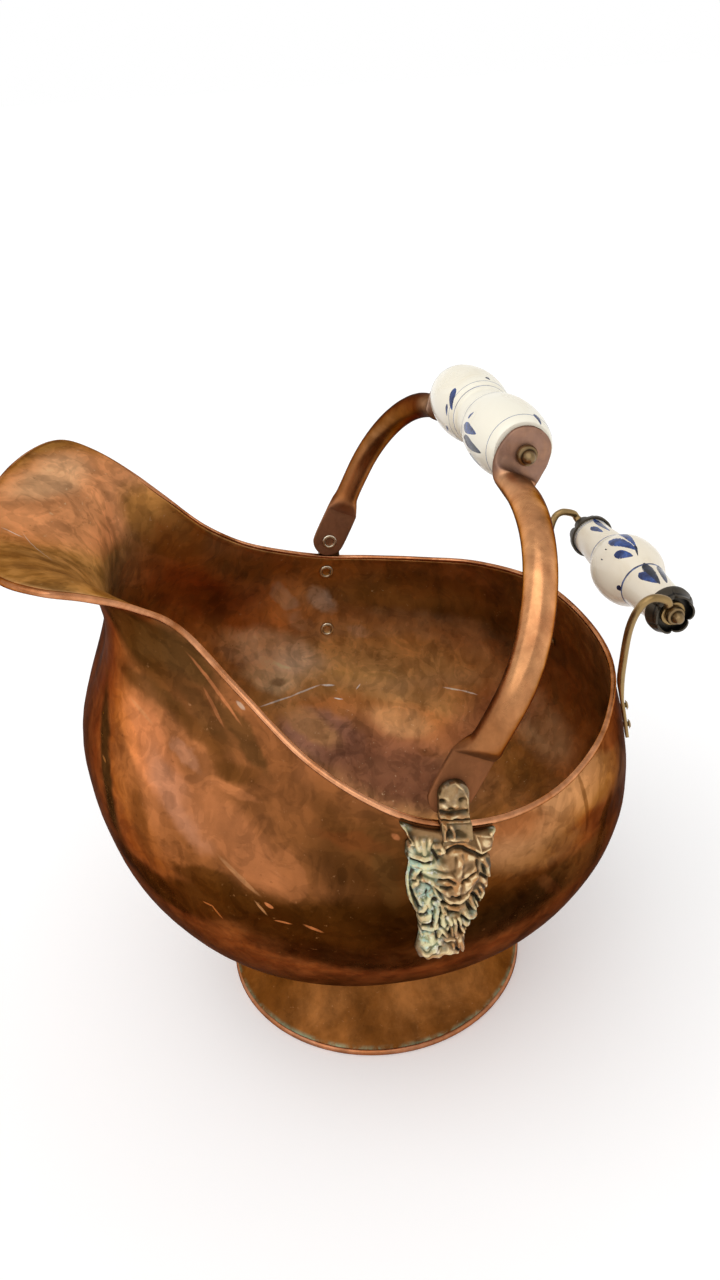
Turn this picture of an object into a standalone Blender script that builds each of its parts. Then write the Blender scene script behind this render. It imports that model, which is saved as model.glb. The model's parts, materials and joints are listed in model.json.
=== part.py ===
"""Helmet coal scuttle: raised bowl with a spout, swing bail and rear handle, both with ceramic grips."""
import math

import bmesh
import bpy
from mathutils import Matrix, Vector
from mathutils.bvhtree import BVHTree

for old in list(bpy.data.objects):
    bpy.data.objects.remove(old, do_unlink=True)

# Driving dimensions, in metres. X runs from the spout (minus) to the rear handle (plus), Z is up.
SEAT_GAP = 0.0003
CUT_OVERRUN = 0.004

# Bowl
BOWL_RADIUS = 0.1491
BOWL_HALF_WIDTH = 0.1447
BOWL_BOTTOM_Z = 0.0202
GIRTH_Z = 0.1622
GIRTH_TILT = 0.0214
BOWL_LEAN = 0.0021
SHEET = 0.0016
SIDE_ROUND_SHARE = 1.774
FRONT_ROUND_SHARE = 2.157
REAR_ROUND_SHARE = 1.797
START_PULL_SHARE = 1.15

# Rim and spout
SPOUT_OVERHANG = 0.0289
REAR_INSET = 0.0176
RIM_INSET = 0.0010
SPOUT_REACH = BOWL_RADIUS + SPOUT_OVERHANG
REAR_REACH = BOWL_RADIUS - REAR_INSET
RIM_HALF_WIDTH = BOWL_HALF_WIDTH - RIM_INSET
RIM_LOW_Z = 0.203
SPOUT_TOP_Z = 0.320
RIM_BEAD_RADIUS = 0.0017
RIM_SEAT = 0.0006

# Foot
FOOT_RADIUS = 0.0905
FOOT_TOP_RADIUS = 0.070
FOOT_BEAD_RADIUS = 0.0021
FOOT_SHEET = 0.0014
FOOT_FLARE_SHARE = 1.6

# Bail
PIVOT_X = 0.0112
PIVOT_Z = 0.2200
BAIL_LEAN = math.radians(28.2)
BAIL_REACH = 0.1310
ARM_TUBE_RADIUS = 0.0073
ARM_OVERHANG = 0.0013
ARM_TUBE_OUT = RIM_HALF_WIDTH + ARM_OVERHANG
ARM_PLATE = 0.0028
ARM_FOOT_RADIUS = 0.0103
ARM_HEAD_RADIUS = 0.0127
ARM_BEND_RADIUS = 0.0085
ARM_SHOULDER_DROP = 0.0140
ARM_FOOT_CREASE = 0.0190
ARM_FOOT_BLEND = 0.0140
ARM_STRAIGHT = 0.0500
ARM_ROUND_SHARE = 1.85

# Lion mask castings
MASK_WIDTH = 0.0440
MASK_BOTTOM_Z = 0.1325
MASK_OFFSET = 0.0024
HOOK_LOW_Z = 0.1950
MASK_LEAN = 0.0046
MASK_PLATE = 0.0030
MASK_RELIEF = 0.0075
TAB_WIDTH = 0.0132
TAB_PLATE = 0.0030
TAB_CROWN = 0.0066
HOOK_PLATE = 0.0032
HOOK_TOP = 0.0030

# Hollow studs behind the masks
STUD_RADIUS = 0.0035
STUD_BORE = 0.0027
STUD_FLANGE_RADIUS = 0.0046
STUD_FLANGE = 0.0009
STUD_GRIP = 0.0020
UPPER_STUD_Z = 0.1965
LOWER_STUD_Z = 0.1530

# Grips
BAIL_GRIP_HALF = 0.0515
BULB_RADIUS = 0.0185
BULB_WAIST_RADIUS = 0.0142
BULB_END_RADIUS = 0.0148
REAR_GRIP_HALF = 0.0500
BULGE_RADIUS = 0.0190
BULGE_NECK_RADIUS = 0.0126
REAR_END_RADIUS = 0.0110
GRIP_RUN = 0.0005

# Rods and nuts
ROD_RADIUS = 0.0030
NUT_RADIUS = 0.0050
NUT_BASE = 0.0030
NUT_DOME_RADIUS = 0.0033
NUT_DOME = 0.0048

# Rear handle
REAR_STAND_OFF = 0.0238
REAR_X = REAR_REACH + REAR_STAND_OFF
REAR_Z = 0.2396
FERRULE_RADIUS = 0.0125
FERRULE_LENGTH = 0.0085
FERRULE_WALL = 0.0010
FERRULE_LAP = 0.0020
BRACKET_RADIUS = 0.0021
BRACKET_EYE_RADIUS = 0.0058
BRACKET_EYE_PLATE = 0.0022
BRACKET_FOOT_WIDTH = 0.0078
BRACKET_FOOT_PLATE = 0.0020
BRACKET_FOOT_TOP_Z = 0.1900
BRACKET_FOOT_LOW_Z = 0.1660
BRACKET_AZIMUTH = math.radians(20)
BRACKET_TUCK = 0.0005
BRACKET_STEM_X = REAR_REACH - BRACKET_TUCK
BRACKET_RISE = 0.0137
BRACKET_ENTRY = math.radians(57)
RIVET_RADIUS = 0.0014
RIVET_HEAD_RADIUS = 0.0028
RIVET_HEAD = 0.0011

# The origin lies on the floor under the middle of the whole length.
FOOT_X = ((SPOUT_REACH + RIM_BEAD_RADIUS) - (REAR_X + BULGE_RADIUS)) / 2

# Rim stations from the rear round to the spout's tip, one half: azimuth as a share of the half turn, then
# reach, half width and height of the bead as shares.
RIM_SHARES = (
    (0.000, 1.000, 0.000, 0.085),
    (0.125, 0.943, 0.369, 0.085),
    (0.244, 0.768, 0.675, 0.048),
    (0.333, 0.548, 0.867, 0.008),
    (0.408, 0.319, 0.971, 0.002),
    (0.475, 0.091, 0.999, 0.030),
    (0.533, -0.084, 0.964, 0.107),
    (0.594, -0.253, 0.835, 0.265),
    (0.656, -0.393, 0.660, 0.487),
    (0.706, -0.506, 0.565, 0.709),
    (0.750, -0.601, 0.598, 0.842),
    (0.792, -0.702, 0.654, 0.944),
    (0.833, -0.796, 0.672, 1.000),
    (0.878, -0.888, 0.557, 1.000),
    (0.936, -0.961, 0.327, 0.974),
    (1.000, -1.000, 0.000, 0.923),
)
# Neck of the wall below each rim station, where it turns out into the lip: reach, half width and height.
NECK_SHARES = (
    (1.068, 0.000, -0.179),
    (1.000, 0.369, -0.171),
    (0.817, 0.696, -0.162),
    (0.570, 0.884, -0.162),
    (0.327, 0.985, -0.154),
    (0.091, 1.016, -0.128),
    (-0.086, 0.999, -0.085),
    (-0.250, 0.898, 0.026),
    (-0.393, 0.717, 0.248),
    (-0.500, 0.578, 0.504),
    (-0.573, 0.529, 0.684),
    (-0.635, 0.487, 0.761),
    (-0.680, 0.418, 0.778),
    (-0.708, 0.299, 0.733),
    (-0.721, 0.160, 0.672),
    (-0.722, 0.000, 0.629),
)
SPAN_STEPS = 2
LOWER_RINGS = 10
WALL_RINGS = 5
LIP_RINGS = 6

# Sides of the turned and swept pieces
BEAD_STEPS = 2
FOOT_SIDES = 48
FOOT_RINGS = 4
FOOT_BEAD_SIDES = 8
MASK_COLUMNS = 16
MASK_ROWS = 26
HOOK_STEPS = 6
STUD_SIDES = 14
ARM_SIDES = 12
ARM_STEPS = 9
ROD_SIDES = 14
NUT_SIDES = 12
GRIP_SIDES = 24
FERRULE_SIDES = 24
BRACKET_SIDES = 10
RIVET_SIDES = 12
DRILL_SIDES = 16
SIDES = (("l", -1), ("r", 1))
SMOOTH_ANGLE = math.radians(35)


def material(name, colour, metallic, roughness):
    """Principled material with one plain colour."""
    mat = bpy.data.materials.new(name)
    mat.use_nodes = True
    shader = mat.node_tree.nodes["Principled BSDF"]
    shader.inputs["Base Color"].default_value = (*colour, 1.0)
    shader.inputs["Metallic"].default_value = metallic
    shader.inputs["Roughness"].default_value = roughness
    mat.diffuse_color = (*colour, 1.0)
    return mat


def build_object(name, bm, look, parent=None, smooth=SMOOTH_ANGLE):
    """Turn a bmesh into a named object with its own material."""
    bmesh.ops.recalc_face_normals(bm, faces=bm.faces)
    if bm.calc_volume(signed=True) < 0:
        bmesh.ops.reverse_faces(bm, faces=bm.faces)
    mesh = bpy.data.meshes.new(name)
    bm.to_mesh(mesh)
    bm.free()
    if smooth:
        mesh.shade_smooth()
        mesh.set_sharp_from_angle(angle=smooth)
    obj = bpy.data.objects.new(name, mesh)
    bpy.context.scene.collection.objects.link(obj)
    mesh.materials.append(material(name, *look))
    obj.parent = parent
    return obj


def empty_at(name, matrix):
    """Empty that carries a moving group on its joint's axis."""
    marker = bpy.data.objects.new(name, None)
    bpy.context.scene.collection.objects.link(marker)
    marker.matrix_world = matrix
    return marker


def loft(rings, closed=False):
    """Skin a row of rings; open ends get a fan or n-gon cap."""
    bm = bmesh.new()
    rows = [[bm.verts.new(point) for point in ring] for ring in rings]
    count = len(rows[0])
    pairs = list(zip(rows, rows[1:] + rows[:1])) if closed else list(zip(rows, rows[1:]))
    for low, high in pairs:
        for k in range(count):
            bm.faces.new((low[k], low[(k + 1) % count], high[(k + 1) % count], high[k]))
    if not closed:
        bm.faces.new(rows[0][::-1])
        bm.faces.new(rows[-1])
    return bm


def turned(profile, sides, frame):
    """Turn a closed or pole-to-pole profile of (radius, height) about the frame's Z axis."""
    bm = bmesh.new()
    columns = []
    for radius, height in profile:
        if radius == 0:
            columns.append([bm.verts.new(frame @ Vector((0, 0, height)))])
            continue
        ring = []
        for k in range(sides):
            angle = 2 * math.pi * k / sides
            point = Vector((radius * math.cos(angle), radius * math.sin(angle), height))
            ring.append(bm.verts.new(frame @ point))
        columns.append(ring)
    on_axis = profile[0][0] == 0 and profile[-1][0] == 0
    pairs = zip(columns, columns[1:]) if on_axis else zip(columns, columns[1:] + columns[:1])
    for low, high in pairs:
        for k in range(sides):
            n = (k + 1) % sides
            if len(low) == 1:
                bm.faces.new((low[0], high[n], high[k]))
            elif len(high) == 1:
                bm.faces.new((low[k], low[n], high[0]))
            else:
                bm.faces.new((low[k], low[n], high[n], high[k]))
    return bm


def squircle(sides, half_a, half_b, roundness):
    """Section from a circle (2) to a flat bar (high values)."""
    points = []
    for k in range(sides):
        angle = 2 * math.pi * (k + 0.5) / sides
        c, s = math.cos(angle), math.sin(angle)
        a = half_a * math.copysign(abs(c) ** (2 / roundness), c)
        b = half_b * math.copysign(abs(s) ** (2 / roundness), s)
        points.append((a, b))
    return points


def blend(a, b, t):
    return a + (b - a) * t


def ease(t):
    t = min(max(t, 0.0), 1.0)
    return t * t * (3 - 2 * t)


def cut(target, cutter):
    """Take a cutter's shape out of a piece."""
    cutter.hide_render = True
    cutter.display_type = "WIRE"
    step = target.modifiers.new("cut_" + cutter.name, "BOOLEAN")
    step.operation = "DIFFERENCE"
    step.solver = "EXACT"
    step.object = cutter


CUTTER_LOOK = ((0.5, 0.5, 0.5), 0.0, 0.5)


def drill(target, name, centre, axis, radius, length, parent=None, sides=DRILL_SIDES):
    """Round hole centred on a point along an axis."""
    turn = Vector((0, 0, 1)).rotation_difference(Vector(axis)).to_matrix().to_4x4()
    frame = Matrix.Translation(centre) @ turn
    profile = [(0, -length / 2), (radius, -length / 2), (radius, length / 2), (0, length / 2)]
    cutter = build_object(name, turned(profile, sides, frame), CUTTER_LOOK, parent, None)
    cut(target, cutter)


COPPER = ((0.36, 0.15, 0.06), 1.0, 0.36)
WORN_COPPER = ((0.62, 0.29, 0.15), 1.0, 0.30)
DULL_COPPER = ((0.45, 0.20, 0.09), 1.0, 0.38)
BRASS = ((0.36, 0.27, 0.13), 1.0, 0.45)
DARK_BRASS = ((0.24, 0.17, 0.08), 1.0, 0.45)
STUD_METAL = ((0.50, 0.43, 0.32), 1.0, 0.40)
STEEL = ((0.30, 0.28, 0.26), 1.0, 0.45)
GLAZE = ((0.80, 0.75, 0.60), 0.0, 0.18)
DARK = ((0.022, 0.020, 0.018), 0.0, 0.45)

# Bowl surface


def spline(p0, p1, p2, p3, t):
    """Smooth curve through p1 and p2."""
    first = 2 * p1 + (p2 - p0) * t
    second = (2 * p0 - 5 * p1 + 4 * p2 - p3) * t * t
    return (first + second + (3 * p1 - p0 - 3 * p2 + p3) * t * t * t) / 2


def hermite(start, end, start_pull, end_pull, t):
    a = start * (2 * t ** 3 - 3 * t ** 2 + 1) + start_pull * (t ** 3 - 2 * t ** 2 + t)
    return a + end * (3 * t ** 2 - 2 * t ** 3) + end_pull * (t ** 3 - t ** 2)


def place_at(reach, half_width, height, side):
    """Real place of a rim or neck station from its shares."""
    length = SPOUT_REACH if reach < 0 else REAR_REACH
    rise = SPOUT_TOP_Z - RIM_LOW_Z
    return [FOOT_X + reach * length, side * half_width * RIM_HALF_WIDTH, RIM_LOW_Z + height * rise]


def station_rows():
    """Azimuth, rim place and neck place right round, the second half mirrored in Y."""
    full = []
    for (azimuth, *rim), neck in zip(RIM_SHARES, NECK_SHARES):
        full.append(Vector([azimuth * math.pi] + place_at(*rim, 1) + place_at(*neck, 1)))
    for (azimuth, *rim), neck in list(zip(RIM_SHARES, NECK_SHARES))[-2:0:-1]:
        full.append(Vector([(2 - azimuth) * math.pi] + place_at(*rim, -1) + place_at(*neck, -1)))
    turn = Vector([2 * math.pi] + [0] * (len(full[0]) - 1))
    wrapped = [full[-1] - turn] + full + [full[0] + turn, full[1] + turn]
    rows = []
    for i in range(len(full)):
        for k in range(SPAN_STEPS):
            rows.append(spline(*wrapped[i:i + 4], k / SPAN_STEPS))
    return rows


def bowl_rings():
    """Rings of the outer skin from the bottom up, and the bead's centre line."""
    rows = station_rows()
    rim = [Vector(row[1:4]) for row in rows]
    count = len(rows)
    rings = [[] for _ in range(LOWER_RINGS + WALL_RINGS + LIP_RINGS)]
    for i, row in enumerate(rows):
        c, s = math.cos(row[0]), math.sin(row[0])
        girth_z = GIRTH_Z - GIRTH_TILT * c
        end_share = REAR_ROUND_SHARE if c > 0 else FRONT_ROUND_SHARE
        power = SIDE_ROUND_SHARE + (end_share - SIDE_ROUND_SHARE) * c * c
        for k in range(1, LOWER_RINGS + 1):
            share = k / LOWER_RINGS
            out = math.sin(share * math.pi / 2) ** (2 / power)
            down = max(math.cos(share * math.pi / 2), 0.0) ** (2 / power)
            x = FOOT_X - BOWL_LEAN * share + BOWL_RADIUS * out * c
            z = girth_z - (girth_z - BOWL_BOTTOM_Z) * down
            rings[k - 1].append(Vector((x, BOWL_HALF_WIDTH * out * s, z)))
        girth = rings[LOWER_RINGS - 1][-1]
        neck = Vector(row[4:7])
        lower, upper = neck - girth, rim[i] - neck
        middle = (lower.normalized() + upper.normalized()).normalized()
        lip = (2 * upper.normalized() - middle).normalized()
        along = (rim[(i + 1) % count] - rim[i - 1]).normalized()
        square = (lip - along * lip.dot(along)).normalized()
        edge = rim[i] - square * (RIM_BEAD_RADIUS + RIM_SEAT)
        upper = edge - neck
        start_pull = Vector((0, 0, lower.length * START_PULL_SHARE))
        for k in range(1, WALL_RINGS + 1):
            point = hermite(girth, neck, start_pull, middle * lower.length, k / WALL_RINGS)
            rings[LOWER_RINGS + k - 1].append(point)
        for k in range(1, LIP_RINGS + 1):
            point = hermite(neck, edge, middle * upper.length, lip * upper.length, k / LIP_RINGS)
            rings[LOWER_RINGS + WALL_RINGS + k - 1].append(point)
    return rings, rim


RINGS, RIM = bowl_rings()
POLE = Vector((FOOT_X, 0, BOWL_BOTTOM_Z))


def bowl_skin():
    """Open outer skin of the bowl, faces out."""
    bm = bmesh.new()
    pole = bm.verts.new(POLE)
    rows = [[bm.verts.new(point) for point in ring] for ring in RINGS]
    count = len(rows[0])
    for k in range(count):
        bm.faces.new((pole, rows[0][(k + 1) % count], rows[0][k]))
    for low, high in zip(rows, rows[1:]):
        for k in range(count):
            bm.faces.new((low[k], low[(k + 1) % count], high[(k + 1) % count], high[k]))
    return bm


def skin_tree():
    bm = bowl_skin()
    bmesh.ops.triangulate(bm, faces=bm.faces)
    tree = BVHTree.FromBMesh(bm)
    bm.free()
    return tree


WALL = skin_tree()
FAR_OUT = BOWL_RADIUS + SPOUT_REACH


def wall_y(x, z):
    """Half width of the bowl's outer skin at a place on its side, and the wall's normal there."""
    hit, normal, _, _ = WALL.ray_cast(Vector((x, FAR_OUT, z)), Vector((0, -1, 0)))
    return hit.y, normal


def rim_at_x(x):
    """Bead centre on the side of the rim at a given X."""
    side = [point for point in RIM if point.y > 0]
    for a, b in zip(side, side[1:]):
        if b.x <= x <= a.x:
            return a.lerp(b, (a.x - x) / (a.x - b.x))
    return side[0]


def make_bowl():
    bowl = build_object("bowl", bowl_skin(), COPPER)
    shell = bowl.modifiers.new("sheet", "SOLIDIFY")
    shell.thickness = SHEET
    shell.offset = -1
    shell.use_even_offset = True
    return bowl


def make_rim_bead():
    """Rolled bead that runs round the rim and the spout."""
    curve = bpy.data.curves.new("rim_bead", "CURVE")
    curve.dimensions = "3D"
    path = curve.splines.new("POLY")
    path.points.add(len(RIM) - 1)
    for point, place in zip(path.points, RIM):
        point.co = (*place, 1)
    path.use_cyclic_u = True
    curve.bevel_depth = RIM_BEAD_RADIUS
    curve.bevel_resolution = BEAD_STEPS
    curve.materials.append(material("rim_bead", *WORN_COPPER))
    bead = bpy.data.objects.new("rim_bead", curve)
    bpy.context.scene.collection.objects.link(bead)


# Foot


def bowl_under(radius, angle):
    """Height of the bowl's underside over a place on the foot."""
    x = FOOT_X + radius * math.cos(angle)
    y = radius * math.sin(angle)
    hit, _, _, _ = WALL.ray_cast(Vector((x, y, 0)), Vector((0, 0, 1)))
    return hit.z


def make_foot():
    bead_mid = FOOT_RADIUS - FOOT_BEAD_RADIUS
    base_z = 2 * FOOT_BEAD_RADIUS + SEAT_GAP
    rings = []
    for inner in (False, True):
        column = []
        shift = FOOT_SHEET / 2 if inner else -FOOT_SHEET / 2
        for k in range(FOOT_RINGS + 1):
            share = k / FOOT_RINGS
            radius = blend(FOOT_TOP_RADIUS, bead_mid, (1 - share) ** FOOT_FLARE_SHARE) - shift
            ring = []
            for n in range(FOOT_SIDES):
                angle = 2 * math.pi * n / FOOT_SIDES
                top = bowl_under(radius if share == 1 else FOOT_TOP_RADIUS - shift, angle) - SEAT_GAP
                z = blend(base_z, top, share)
                ring.append(Vector((FOOT_X + radius * math.cos(angle), radius * math.sin(angle), z)))
            column.append(ring)
        rings.append(column)
    build_object("foot_skirt", loft(rings[0] + rings[1][::-1], closed=True), DULL_COPPER)
    profile = []
    reach = FOOT_BEAD_RADIUS / math.cos(math.pi / FOOT_BEAD_SIDES)
    for k in range(FOOT_BEAD_SIDES):
        angle = 2 * math.pi * (k + 0.5) / FOOT_BEAD_SIDES
        profile.append((bead_mid + reach * math.cos(angle), FOOT_BEAD_RADIUS + reach * math.sin(angle)))
    frame = Matrix.Translation((FOOT_X, 0, 0))
    build_object("foot_bead", turned(profile, FOOT_SIDES, frame), WORN_COPPER)


# Lion mask castings. Outline rows: how far down, then half width as a share of the mask's.
MASK_OUTLINE_SHARES = (
    (0.00, 0.96), (0.05, 0.86), (0.10, 0.84), (0.16, 0.85), (0.21, 0.80), (0.30, 0.85), (0.40, 0.87),
    (0.50, 0.79), (0.60, 0.67), (0.70, 0.55), (0.79, 0.43), (0.84, 0.43), (0.90, 0.50), (0.95, 0.48),
    (1.00, 0.40),
)
# How far the face's middle lies off the casting's, as a share of its half width.
FACE_TURN_SHARE = 0.12
# Relief bumps about the face's middle: across, down, spread across, spread down, rise, as shares.
MASK_BUMP_SHARES = (
    (0.00, 0.36, 0.40, 0.20, 0.46), (0.00, 0.22, 0.30, 0.060, 0.24), (0.22, 0.305, 0.15, 0.022, 0.24),
    (0.00, 0.370, 0.07, 0.060, 0.26), (0.00, 0.415, 0.10, 0.022, 0.20), (0.12, 0.455, 0.13, 0.030, 0.28),
    (0.22, 0.345, 0.09, 0.020, -0.24), (0.00, 0.492, 0.16, 0.011, -0.26), (0.00, 0.530, 0.12, 0.018, 0.18),
    (0.00, 0.585, 0.13, 0.026, 0.28), (0.66, 0.115, 0.17, 0.042, 0.46), (0.80, 0.235, 0.13, 0.040, 0.34),
    (0.84, 0.330, 0.12, 0.040, 0.36), (0.80, 0.425, 0.12, 0.040, 0.36), (0.74, 0.510, 0.13, 0.038, 0.36),
    (0.62, 0.600, 0.14, 0.036, 0.36), (0.50, 0.420, 0.10, 0.045, 0.26), (0.42, 0.520, 0.11, 0.038, 0.28),
    (0.38, 0.620, 0.13, 0.036, 0.30), (0.66, 0.690, 0.15, 0.034, 0.34), (0.25, 0.705, 0.14, 0.036, 0.32),
    (0.55, 0.775, 0.16, 0.032, 0.32), (0.14, 0.785, 0.15, 0.032, 0.30), (0.66, 0.915, 0.28, 0.034, 0.44),
    (0.00, 0.955, 0.26, 0.026, 0.28),
)
# Width of the strips at the sides, top and bottom in which the relief runs out.
MASK_FALL_SHARES = (0.18, 0.05, 0.03)
# Plate thickness left at the outline, and how far in it grows to the whole.
MASK_EDGE_SHARE = 0.45
MASK_EDGE_RUN_SHARE = 0.2
# Hook: height of the ledge over the bead, and how far it stands out beside and below the bead.
HOOK_LEDGE_SHARE = 0.6
HOOK_SIDE_SHARE = 0.2
HOOK_NECK_SHARE = 0.5


def outline_share(down):
    for (d0, w0), (d1, w1) in zip(MASK_OUTLINE_SHARES, MASK_OUTLINE_SHARES[1:]):
        if down <= d1:
            return blend(w0, w1, (down - d0) / (d1 - d0))
    return MASK_OUTLINE_SHARES[-1][1]


def relief_share(across, down):
    """Height of the carving as a share of the relief; it falls away at the edge."""
    rise = 0.0
    for x, y, wide, tall, share in MASK_BUMP_SHARES:
        for side in ((-1, 1) if x else (1,)):
            off = across - FACE_TURN_SHARE - side * x
            rise += share * math.exp(-(off / wide) ** 2 - ((down - y) / tall) ** 2)
    side_fall = min(1.0, (1 - abs(across)) / MASK_FALL_SHARES[0])
    top_fall = min(1.0, down / MASK_FALL_SHARES[1])
    bottom_fall = min(1.0, (1 - down) / MASK_FALL_SHARES[2])
    return max(rise, 0.0) * side_fall * top_fall * bottom_fall


def mask_top(x):
    """Height of the casting's top edge, close under the bead."""
    return rim_at_x(x).z - RIM_BEAD_RADIUS - RIM_SEAT - SEAT_GAP


def mask_middle(down):
    return FOOT_X + PIVOT_X - MASK_OFFSET - MASK_LEAN * down


def mask_grid(side):
    """Closed casting whose back follows the bowl and whose face carries the lion."""
    bm = bmesh.new()
    backs, fronts = [], []
    for j in range(MASK_ROWS + 1):
        down = j / MASK_ROWS
        half = outline_share(down) * MASK_WIDTH / 2
        middle = mask_middle(down)
        back_row, front_row = [], []
        for i in range(MASK_COLUMNS + 1):
            across = 2 * i / MASK_COLUMNS - 1
            x = middle + across * half
            z = blend(mask_top(x), MASK_BOTTOM_Z, down)
            y, normal = wall_y(x, z)
            seat = Vector((x, y, z)) + normal * SEAT_GAP
            depth = MASK_PLATE * blend(MASK_EDGE_SHARE, 1, min(1.0, (1 - abs(across)) / MASK_EDGE_RUN_SHARE))
            face = seat + normal * (depth + MASK_RELIEF * relief_share(across, down))
            back_row.append(bm.verts.new((seat.x, side * seat.y, seat.z)))
            front_row.append(bm.verts.new((face.x, side * face.y, face.z)))
        backs.append(back_row)
        fronts.append(front_row)
    for grid in (backs, fronts):
        for low, high in zip(grid, grid[1:]):
            for i in range(MASK_COLUMNS):
                bm.faces.new((low[i], low[i + 1], high[i + 1], high[i]))
    for row in (0, -1):
        for i in range(MASK_COLUMNS):
            bm.faces.new((backs[row][i], backs[row][i + 1], fronts[row][i + 1], fronts[row][i]))
    for column in (0, -1):
        for j in range(MASK_ROWS):
            bm.faces.new((backs[j][column], backs[j + 1][column], fronts[j + 1][column], fronts[j][column]))
    return bm


# The arm's flat foot lies against the tab's inner face, over the bead.
TAB_INNER = RIM_HALF_WIDTH - RIM_BEAD_RADIUS - SEAT_GAP


def hook_sections(side):
    """Sections across X of the piece that climbs past the bead, hooks over it and stands up as the tab."""
    sections = []
    low_z = HOOK_LOW_Z
    for i in range(HOOK_STEPS + 1):
        angle = math.pi * i / HOOK_STEPS
        offset = -TAB_WIDTH / 2 * math.cos(angle)
        x = FOOT_X + PIVOT_X + offset
        rim = rim_at_x(x)
        bead_top = rim.z + RIM_BEAD_RADIUS + SEAT_GAP
        bead_out = rim.y + RIM_BEAD_RADIUS + SEAT_GAP
        wall_top = rim.z - 2 * RIM_BEAD_RADIUS
        foot_y = wall_y(x, low_z)[0] + 2 * SEAT_GAP
        neck_y = max(wall_y(x, wall_top)[0] + 2 * SEAT_GAP, bead_out)
        crown = PIVOT_Z + TAB_CROWN * math.sin(angle) + ARM_PLATE
        outer = bead_out + HOOK_PLATE
        tab_out = TAB_INNER + TAB_PLATE
        points = [
            (foot_y, low_z), (neck_y, wall_top), (bead_out, rim.z), (bead_out, bead_top),
            (TAB_INNER, bead_top), (TAB_INNER, crown), (tab_out, crown), (tab_out, bead_top + HOOK_TOP),
            (outer, bead_top + HOOK_TOP * HOOK_LEDGE_SHARE), (outer + HOOK_PLATE * HOOK_SIDE_SHARE, rim.z),
            (outer + HOOK_PLATE * HOOK_NECK_SHARE, wall_top), (foot_y + MASK_PLATE + HOOK_PLATE, low_z),
        ]
        sections.append([Vector((x, side * y, z)) for y, z in points])
    return sections


def make_mask(suffix, side):
    mask = build_object("lion_mask_" + suffix, mask_grid(side), BRASS)
    hook = build_object("hook_guide_" + suffix, loft(hook_sections(side)), BRASS)
    hook.hide_render = True
    hook.display_type = "WIRE"
    join = mask.modifiers.new("hook", "BOOLEAN")
    join.operation = "UNION"
    join.solver = "EXACT"
    join.object = hook
    return mask


FLANGE_FACE_SHARE = 0.92


def stud_profile(shank):
    """Hollow stud: flange inside, shank outwards along the axis."""
    face = STUD_FLANGE_RADIUS * FLANGE_FACE_SHARE
    return [
        (STUD_BORE, 0), (face, 0), (STUD_FLANGE_RADIUS, STUD_FLANGE / 2), (face, STUD_FLANGE),
        (STUD_RADIUS, STUD_FLANGE), (STUD_RADIUS, shank), (STUD_BORE, shank),
    ]


def make_stud(name, inner_point, axis, shank):
    turn = Vector((0, 0, 1)).rotation_difference(Vector(axis)).to_matrix().to_4x4()
    frame = Matrix.Translation(inner_point) @ turn
    build_object(name, turned(stud_profile(shank), STUD_SIDES, frame), STUD_METAL)


def make_mask_fixings(bowl, mask, suffix, side):
    """Two hollow studs through the wall into the casting's back."""
    for label, z in (("upper", UPPER_STUD_Z), ("lower", LOWER_STUD_Z)):
        top = mask_top(FOOT_X + PIVOT_X)
        down = (top - z) / (top - MASK_BOTTOM_Z)
        x = mask_middle(down)
        y, normal = wall_y(x, z)
        axis = Vector((normal.x, side * normal.y, normal.z))
        outer = Vector((x, side * y, z))
        reach = SHEET + SEAT_GAP * 2 + STUD_FLANGE
        start = outer - axis * reach
        shank = reach + SEAT_GAP + STUD_GRIP
        make_stud("mask_stud_%s_%s" % (label, suffix), start, axis, shank)
        hole = STUD_RADIUS + SEAT_GAP
        middle = outer - axis * SHEET / 2
        drill(bowl, "wall_hole_%s_%s" % (label, suffix), middle, axis, hole, SHEET + CUT_OVERRUN)
        depth = 2 * (STUD_GRIP + 2 * SEAT_GAP)
        drill(mask, "mask_hole_%s_%s" % (label, suffix), outer, axis, hole, depth)


# Bail. Its own frame has the pivots on Y and the grip up along Z.
ARM_PLATE_MID = TAB_INNER - SEAT_GAP - ARM_PLATE / 2
HEAD_PLATE_MID = BAIL_GRIP_HALF + SEAT_GAP + GRIP_RUN + ARM_PLATE / 2
FLAT_ROUND_SHARE = 7.0
# Stations of the round foot and head plates, of the foot's growth into the tube and of the bend.
FOOT_PLATE_SHARES = (-0.985, -0.85, -0.55, 0.0)
HEAD_PLATE_SHARES = (0.0, 0.55, 0.85, 0.985)
FOOT_GROWTH_SHARES = (0.25, 0.6, 1.0)
BEND_SHARES = (0.34, 0.67, 1.0)
# The tube's foot thickens and grows round faster than it moves out.
FOOT_THICKEN_SHARE = 1.15
FOOT_ROUNDEN_SHARE = 1.3
# Tube at the shoulder, as shares of the head's radius and of the tube's.
SHOULDER_WIDE_SHARE = 0.72
SHOULDER_THICK_SHARE = 0.8
SWELL_START_SHARE = 0.667
BAIL_AXIS = empty_at(
    "bail_axis",
    Matrix.Translation((FOOT_X + PIVOT_X, 0, PIVOT_Z)) @ Matrix.Rotation(BAIL_LEAN, 4, "Y"),
)


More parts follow.
